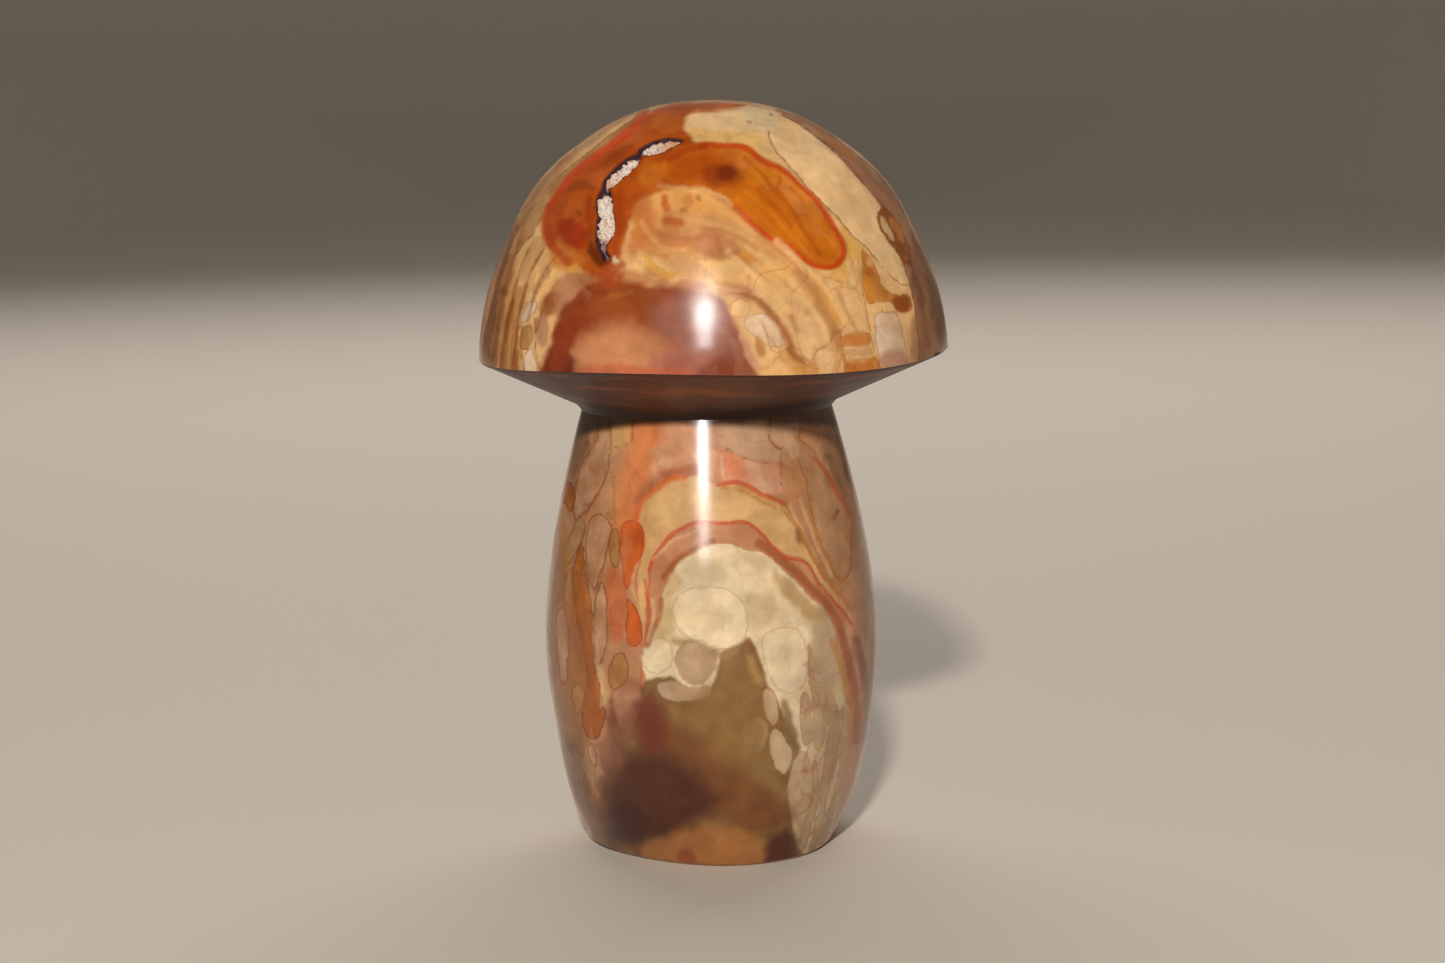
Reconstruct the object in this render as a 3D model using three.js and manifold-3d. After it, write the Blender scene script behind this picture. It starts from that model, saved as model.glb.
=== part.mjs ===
// A mushroom turned and polished from one piece of polychrome jasper.
// Millimetres, +Z up. -Y is the front. The origin is on the floor, under the middle of the cap.

import * as THREE from "three";
import { mergeVertices } from "three/addons/utils/BufferGeometryUtils.js";
import Module from "manifold-3d";

const wasm = await Module();
wasm.setup();

// Driving dimensions

const NECK_HEIGHT = 52.65;
const STEM_CENTRE_X = -0.95;
// Stem radii at equal steps of height, from the floor to the neck.
const STEM_RADII = [14.69, 16.97, 18.25, 19.05, 19.71, 19.79, 19.32, 18.52, 17.45, 16.15, 14.71];
const FOOT_BEVEL = 0.35;
// The foot is ground a little out of round. Each wave is [lobes, share of the radius, crest angle].
const FOOT_WAVES = [
  [2, 0.022, -48.5],
  [3, 0.0446, 48.3],
];
const FOOT_WAVE_HEIGHT = 16;

const DOME_CENTRE_HEIGHT = 58.05;
// Reach of the dome from its centre, every 15 degrees from level to straight up.
const DOME_REACH = [27.7, 27.69, 27.94, 29.08, 29.65, 30.18, 30.11];
const RIM_HEIGHT = 58.35;
// The rim is ground in a slight wave. Each wave is [lobes, height, crest angle].
const RIM_WAVES = [
  [1, 0.17, 183],
  [2, 0.27, -25.5],
  [3, 0.44, 8.5],
];
const RIM_BEVEL = 0.22;
const NECK_FILLET = 0.9;

// The fissure runs over the upper left of the dome. Each station is
// [degrees from the front towards +X, degrees above level, half width].
const FISSURE = [
  [-12, 60.3, 0.35],
  [-15, 60, 0.75],
  [-19, 59.2, 1.2],
  [-23, 58, 1.35],
  [-26.5, 56.9, 1],
  [-28.3, 55.6, 0.42],
  [-29.3, 53.9, 0.95],
  [-31.2, 51.6, 1.2],
  [-33, 49.2, 1.15],
  [-34.4, 46.9, 1],
  [-35, 45, 0.45],
  [-34.2, 43.2, 0.95],
  [-33, 41, 1.05],
  [-32, 39.4, 0.95],
  [-31, 37.2, 1.15],
  [-30.4, 34.4, 1.2],
  [-30.4, 31.8, 0.8],
  [-29.4, 29.8, 0.4],
  [-28, 28, 0.5],
];
// A pit deepens with its half width, up to the greatest depth.
const PIT_LEAST_DEPTH = 0.5;
const PIT_DEEPENING = 0.7;
const PIT_DEPTH = 1.1;
const PIT_HEADROOM = 1;
const PIT_WALL_SHARE = 0.3;
const PIT_FLOOR_SHARE = 0.6;
// The crystal crust keeps clear of the pit's walls and of the polished face.
const DRUSE_GAP = 0.28;
const DRUSE_SINK = 0.2;
const DRUSE_LEAST_WIDTH = 0.14;
// The share of the crust's depth that its lumps rise and fall by, and the turn from lump to lump.
const DRUSE_LUMP = 0.4;
const DRUSE_LUMP_TURN = 2.4;
// The crust's shoulders: how wide and how deep, and its floor's width, as shares. Its edges lie a little lower.
const DRUSE_SHOULDER_WIDTH = 0.8;
const DRUSE_SHOULDER_DEPTH = 0.65;
const DRUSE_FLOOR_WIDTH = 0.55;
const DRUSE_EDGE_DROP = 0.1;
// The places across the crust of its two middle ridges, as shares of its width.
const DRUSE_RIDGES = [-0.45, 0.2];

// Chips knocked out of the rim. Each is [degrees from the front towards +X, half length, half height].
const CHIPS = [
  [81, 0.8, 0.45],
  [68.5, 1.7, 0.55],
];
const CHIP_BITE = 0.35;

const SEGMENTS = 76;
const STEM_STEPS = 16;
const UNDERSIDE_STEPS = 3;
const DOME_STEPS = 21;

// Helpers

const radians = THREE.MathUtils.degToRad;

// A smooth value along equally spaced stations. The share runs from 0 to 1.
function along(stations, share, endSlopeIsLevel = false) {
  const last = stations.length - 1;
  const place = share * last;
  const i = THREE.MathUtils.clamp(Math.floor(place), 0, last - 1);
  const u = place - i;
  const before = i > 0 ? stations[i - 1] : 2 * stations[0] - stations[1];
  const beyond = endSlopeIsLevel ? stations[last - 1] : 2 * stations[last] - stations[last - 1];
  const after = i + 2 <= last ? stations[i + 2] : beyond;
  const from = stations[i];
  const to = stations[i + 1];
  const cubic = 3 * from - before - 3 * to + after;
  const square = 2 * before - 5 * from + 4 * to - after;
  return 0.5 * (2 * from + (to - before) * u + square * u * u + cubic * u ** 3);
}

function waves(list, angle) {
  return list.reduce((sum, [lobes, size, crest]) => sum + size * Math.cos(lobes * (angle - radians(crest))), 0);
}

// A closed solid from a stack of rings with equal numbers of points, and a point at each end.
// The rings turn anticlockwise seen from the last point.
function ringSolid(firstPoint, rings, lastPoint) {
  const count = rings[0].length;
  const points = [firstPoint, ...rings.flat(), lastPoint];
  const lastIndex = points.length - 1;
  const at = (ring, k) => 1 + ring * count + (k % count);
  const faces = [];
  for (let k = 0; k < count; k++) {
    faces.push(0, at(0, k + 1), at(0, k));
    faces.push(lastIndex, at(rings.length - 1, k), at(rings.length - 1, k + 1));
    for (let ring = 0; ring + 1 < rings.length; ring++) {
      faces.push(at(ring, k), at(ring, k + 1), at(ring + 1, k + 1));
      faces.push(at(ring, k), at(ring + 1, k + 1), at(ring + 1, k));
    }
  }
  const geometry = new THREE.BufferGeometry();
  geometry.setAttribute("position", new THREE.Float32BufferAttribute(points.flatMap((p) => [p.x, p.y, p.z]), 3));
  geometry.setIndex(faces);
  return geometry;
}

function toSolid(geometry) {
  return new wasm.Manifold(
    new wasm.Mesh({
      numProp: 3,
      vertProperties: new Float32Array(geometry.attributes.position.array),
      triVerts: new Uint32Array(geometry.index.array),
    }),
  );
}

function toGeometry(solid) {
  const mesh = solid.getMesh();
  const geometry = new THREE.BufferGeometry();
  geometry.setAttribute("position", new THREE.BufferAttribute(mesh.vertProperties, 3));
  geometry.setIndex(new THREE.BufferAttribute(mesh.triVerts, 1));
  geometry.computeVertexNormals();
  return geometry;
}

// The stone's outer surface

function ringOf(pointAt) {
  return Array.from({ length: SEGMENTS }, (_, k) => pointAt((2 * Math.PI * k) / SEGMENTS));
}

function stemPoint(height, angle, inset = 0) {
  const low = Math.max(0, 1 - height / FOOT_WAVE_HEIGHT) ** 2;
  const radius = along(STEM_RADII, height / NECK_HEIGHT) * (1 + low * waves(FOOT_WAVES, angle)) - inset;
  return new THREE.Vector3(STEM_CENTRE_X + radius * Math.cos(angle), radius * Math.sin(angle), height);
}

// Elevation runs from the dome's level circle to its top, in radians.
function domePoint(elevation, angle, lift = 0) {
  const reach = along(DOME_REACH, elevation / (Math.PI / 2), true) + lift;
  const radius = reach * Math.cos(elevation);
  const height = DOME_CENTRE_HEIGHT + reach * Math.sin(elevation);
  return new THREE.Vector3(radius * Math.cos(angle), radius * Math.sin(angle), height);
}

function rimElevation(angle) {
  return (RIM_HEIGHT + waves(RIM_WAVES, angle) - DOME_CENTRE_HEIGHT) / DOME_REACH[0];
}

function stoneRings() {
  const rings = [ringOf((angle) => stemPoint(0, angle, FOOT_BEVEL))];
  for (let step = 0; step <= STEM_STEPS; step++) {
    const height = THREE.MathUtils.lerp(FOOT_BEVEL, NECK_HEIGHT - NECK_FILLET / 2, step / STEM_STEPS);
    rings.push(ringOf((angle) => stemPoint(height, angle)));
  }
  for (let step = 0; step <= UNDERSIDE_STEPS; step++) {
    rings.push(
      ringOf((angle) => {
        const neck = stemPoint(NECK_HEIGHT, angle);
        const rim = domePoint(rimElevation(angle), angle, -RIM_BEVEL);
        const run = Math.hypot(rim.x - neck.x, rim.y - neck.y);
        return neck.lerp(rim, THREE.MathUtils.lerp(NECK_FILLET / run, 1, step / UNDERSIDE_STEPS));
      }),
    );
  }
  const bevelRise = RIM_BEVEL / DOME_REACH[0];
  for (let step = 0; step < DOME_STEPS; step++) {
    rings.push(
      ringOf((angle) => {
        const start = rimElevation(angle) + bevelRise;
        return domePoint(THREE.MathUtils.lerp(start, Math.PI / 2, step / DOME_STEPS), angle);
      }),
    );
  }
  return rings;
}

// The fissure and its crust of crystals

// Each station's middle on the dome, its way sideways along the surface, and its way out of the stone.
function fissureStations() {
  const middles = FISSURE.map(([azimuth, elevation]) => domePoint(radians(elevation), radians(azimuth - 90)));
  const centre = new THREE.Vector3(0, 0, DOME_CENTRE_HEIGHT);
  return middles.map((middle, i) => {
    const next = middles[Math.min(i + 1, middles.length - 1)];
    const last = middles[Math.max(i - 1, 0)];
    const out = middle.clone().sub(centre).normalize();
    const side = new THREE.Vector3().crossVectors(next.clone().sub(last), out).normalize();
    return { middle, out, side, halfWidth: FISSURE[i][2] };
  });
}

function offset(station, sideways, outwards) {
  return station.middle.clone().addScaledVector(station.side, sideways).addScaledVector(station.out, outwards);
}

// A long closed body along the fissure. Its section at a station is a list of [sideways, outwards].
function alongFissure(sectionAt) {
  const stations = fissureStations();
  const rings = stations.map((station, i) =>
    sectionAt(station, i).map(([sideways, outwards]) => offset(station, sideways, outwards)),
  );
  const middleOf = (ring) => ring.reduce((sum, p) => sum.add(p), new THREE.Vector3()).divideScalar(ring.length);
  return ringSolid(middleOf(rings[0]), rings, middleOf(rings[rings.length - 1]));
}

function pitDepth(halfWidth) {
  return Math.min(PIT_DEPTH, PIT_LEAST_DEPTH + PIT_DEEPENING * halfWidth);
}

// The pits' cut has steep walls and a narrower floor.
function pitSection({ halfWidth }) {
  const depth = pitDepth(halfWidth);
  const floorWidth = PIT_FLOOR_SHARE * halfWidth;
  return [
    [halfWidth, PIT_HEADROOM],
    [halfWidth, -PIT_WALL_SHARE * depth],
    [floorWidth, -depth],
    [-floorWidth, -depth],
    [-halfWidth, -PIT_WALL_SHARE * depth],
    [-halfWidth, PIT_HEADROOM],
  ];
}

// The crust fills each pit to just below the polished face, with a lumpy top.
function druseSection({ halfWidth }, i) {
  const wide = Math.max(DRUSE_LEAST_WIDTH, halfWidth - DRUSE_GAP);
  const floor = DRUSE_GAP - pitDepth(halfWidth);
  const level = (share) => THREE.MathUtils.lerp(-DRUSE_SINK, floor, share);
  const lump = (count) => (DRUSE_LUMP * (1 + Math.sin(count * DRUSE_LUMP_TURN))) / 2;
  return [
    [wide, level(lump(i) + DRUSE_EDGE_DROP)],
    [DRUSE_SHOULDER_WIDTH * wide, level(DRUSE_SHOULDER_DEPTH)],
    [DRUSE_FLOOR_WIDTH * wide, floor],
    [-DRUSE_FLOOR_WIDTH * wide, floor],
    [-DRUSE_SHOULDER_WIDTH * wide, level(DRUSE_SHOULDER_DEPTH)],
    [-wide, level(lump(i + 2) + DRUSE_EDGE_DROP)],
    [DRUSE_RIDGES[0] * wide, level(lump(i + 5))],
    [DRUSE_RIDGES[1] * wide, level(lump(i + 3))],
  ];
}

function chipTool([azimuth, halfLength, halfHeight]) {
  const angle = radians(azimuth - 90);
  const tool = new THREE.IcosahedronGeometry(1, 0);
  tool.deleteAttribute("normal");
  tool.deleteAttribute("uv");
  tool.scale(2 * CHIP_BITE, halfLength, halfHeight);
  tool.rotateZ(angle);
  tool.translate(...domePoint(rimElevation(angle), angle, CHIP_BITE));
  return toSolid(mergeVertices(tool));
}

// The pieces

function makeStone() {
  const foot = new THREE.Vector3(STEM_CENTRE_X, 0, 0);
  let stone = toSolid(ringSolid(foot, stoneRings(), domePoint(Math.PI / 2, 0)));
  stone = stone.subtract(toSolid(alongFissure(pitSection)));
  for (const chip of CHIPS) stone = stone.subtract(chipTool(chip));
  return toGeometry(stone);
}

function addPiece(group, name, geometry, material) {
  const mesh = new THREE.Mesh(geometry, material);
  mesh.name = name;
  group.add(mesh);
}

const jasper = new THREE.MeshStandardMaterial({ color: 0xb9743f, roughness: 0.18, metalness: 0 });
const crystal = new THREE.MeshStandardMaterial({ color: 0xe3d3c4, roughness: 0.6, metalness: 0 });

const carving = new THREE.Group();
addPiece(carving, "mushroom", makeStone(), jasper);
addPiece(carving, "druse", alongFissure(druseSection), crystal);

export default carving;
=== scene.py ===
"""The looks of a mushroom turned and polished from one piece of polychrome jasper."""

import math

import bmesh
import bpy
import numpy as np
from mathutils import Matrix, Vector


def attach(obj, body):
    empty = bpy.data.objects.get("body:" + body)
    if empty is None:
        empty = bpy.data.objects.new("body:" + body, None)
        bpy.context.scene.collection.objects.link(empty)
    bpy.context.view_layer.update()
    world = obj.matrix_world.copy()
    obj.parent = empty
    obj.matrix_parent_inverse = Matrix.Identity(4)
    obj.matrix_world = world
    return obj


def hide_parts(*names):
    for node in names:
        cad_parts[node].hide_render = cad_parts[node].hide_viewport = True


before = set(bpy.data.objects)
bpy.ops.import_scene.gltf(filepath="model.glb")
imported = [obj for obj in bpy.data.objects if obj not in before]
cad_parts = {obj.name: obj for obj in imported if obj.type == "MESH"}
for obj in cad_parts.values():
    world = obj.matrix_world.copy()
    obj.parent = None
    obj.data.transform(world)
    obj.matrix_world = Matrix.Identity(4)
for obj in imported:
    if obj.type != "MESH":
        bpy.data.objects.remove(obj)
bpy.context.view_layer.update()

# Millimetres throughout this script, +Z up. -Y is the front. Meshes are scaled to metres when they are made.
MM = 0.001

# The stone's shape, as in the solids

NECK_HEIGHT = 52.65
STEM_CENTRE_X = -0.95
STEM_RADII = [14.69, 16.97, 18.25, 19.05, 19.71, 19.79, 19.32, 18.52, 17.45, 16.15, 14.71]
FOOT_BEVEL = 0.35
# Each wave is (lobes, share of the radius, crest angle).
FOOT_WAVES = [(2, 0.022, -48.5), (3, 0.0446, 48.3)]
FOOT_WAVE_HEIGHT = 16

DOME_CENTRE_HEIGHT = 58.05
# Reach of the dome from its centre, every 15 degrees from level to straight up.
DOME_REACH = [27.7, 27.69, 27.94, 29.08, 29.65, 30.18, 30.11]
RIM_HEIGHT = 58.35
# Each wave is (lobes, height, crest angle).
RIM_WAVES = [(1, 0.17, 183), (2, 0.27, -25.5), (3, 0.44, 8.5)]
RIM_BEVEL = 0.22
NECK_FILLET = 0.9

# Each station of the fissure is (degrees from the front towards +X, degrees above level, half width).
FISSURE = [
    (-12, 60.3, 0.35),
    (-15, 60, 0.75),
    (-19, 59.2, 1.2),
    (-23, 58, 1.35),
    (-26.5, 56.9, 1),
    (-28.3, 55.6, 0.42),
    (-29.3, 53.9, 0.95),
    (-31.2, 51.6, 1.2),
    (-33, 49.2, 1.15),
    (-34.4, 46.9, 1),
    (-35, 45, 0.45),
    (-34.2, 43.2, 0.95),
    (-33, 41, 1.05),
    (-32, 39.4, 0.95),
    (-31, 37.2, 1.15),
    (-30.4, 34.4, 1.2),
    (-30.4, 31.8, 0.8),
    (-29.4, 29.8, 0.4),
    (-28, 28, 0.5),
]
PIT_LEAST_DEPTH = 0.5
PIT_DEEPENING = 0.7
PIT_DEPTH = 1.1
PIT_HEADROOM = 1
# The crust of crystals at each station of the fissure: where it starts and ends, in shares of the half width
# with the upper left side positive, how full the pit is, and how peach its crystals are.
CRUST = [
    (-0.8, 0.8, 0.6, 1),
    (-0.85, 0.8, 0.85, 1),
    (-0.95, 0.75, 0.95, 0.9),
    (-0.95, 0.88, 1, 0.15),
    (-0.95, 0.9, 0.95, 0.1),
    (-0.5, 0.2, 0.12, 0),
    (-0.95, 0.8, 0.95, 0),
    (-0.95, 0.66, 1, 0),
    (-0.95, 0.72, 1, 0.2),
    (-0.95, 0.92, 0.95, 0.6),
    (-0.3, 0.3, 0.1, 0.3),
    (-0.9, 0.95, 0.97, 0),
    (-0.92, 0.95, 1, 0),
    (-0.7, 0.95, 0.95, 0),
    (-0.95, 0.8, 1, 0),
    (-0.97, 0.95, 1, 0),
    (-0.3, 0.7, 0.55, 0.8),
    (0, 0.5, 0.2, 1),
    (-0.5, 0.5, 0.5, 1),
]
CRUST_LEVEL = 0.25
CRYSTALS_PER_SQUARE_MM = 11
CRYSTAL_SIZES = (0.14, 0.36)
CRYSTAL_RELIEF = 0.4

# Chips knocked out of the rim. Each is (degrees from the front towards +X, half length, half height).
CHIPS = [(81, 0.8, 0.45), (68.5, 1.7, 0.55)]
CHIP_BITE = 0.35
CHIP_ROUGHNESS = 0.12
SHARP_ANGLE = math.radians(32)

# How ragged the pits' walls are. Each is (size of the features, reach, seed).
PIT_RAGGEDNESS = [(0.9, 0.1, 11), (0.35, 0.06, 12)]
CRYSTAL_FACES = 5

# The floor's flat radius, the radius of the bend round it, and the height of the backdrop
FLOOR_RADIUS = 1100
SWEEP_RADIUS = 500
BACKDROP_HEIGHT = 1500

# Columns and rows of the stone's surface mesh
FRONT_COLUMNS = 228
BACK_COLUMNS = 80
STEM_ROWS = 144
UNDERSIDE_ROWS = 12
DOME_ROWS = 144
PIT_STEPS = 130
PIT_SECTION_POINTS = 13
DRUSE_STEPS = 360
DRUSE_SECTION_POINTS = 37

# The photograph's camera

PHOTO_WIDTH = 1445
PHOTO_HEIGHT = 963
EYE = Vector((0.74, -360.1, 92.2))
PITCH = 0.1356
ROLL = math.radians(-1.1925)
FOCAL_PIXELS = 3052.07
SENSOR_WIDTH = 36

# The lights face this place. Each is placed by degrees from the front towards +X, degrees above level and
# distance, with its width and height in metres, power, colour and the kind of light that it doesn't give.
LIGHT_AIM = Vector((0, 0, 45))
LIGHTS = [
    ("key", -4, 28.5, 900, 0.05, 0.05, 7.1, (1, 0.95, 0.88), "visible_glossy"),
    ("streak", -4, 25, 900, 0.11, 0.45, 2.6, (1, 0.97, 0.95), "visible_diffuse"),
    ("glint", -4, 25, 895, 0.06, 0.16, 1.7, (1, 0.98, 0.96), "visible_diffuse"),
    ("back_right", 158, 40, 900, 0.5, 0.5, 2.4, (1, 0.97, 0.93), "visible_glossy"),
    ("back_left", -158, 40, 900, 0.5, 0.5, 2.4, (1, 0.97, 0.93), "visible_glossy"),
]
WORLD_COLOUR = (0.95, 0.97, 1, 1)
WORLD_STRENGTH = 0.03
FLOOR_TONE = (206, 197, 186)
FLOOR_ROUGHNESS = 0.75
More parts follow.
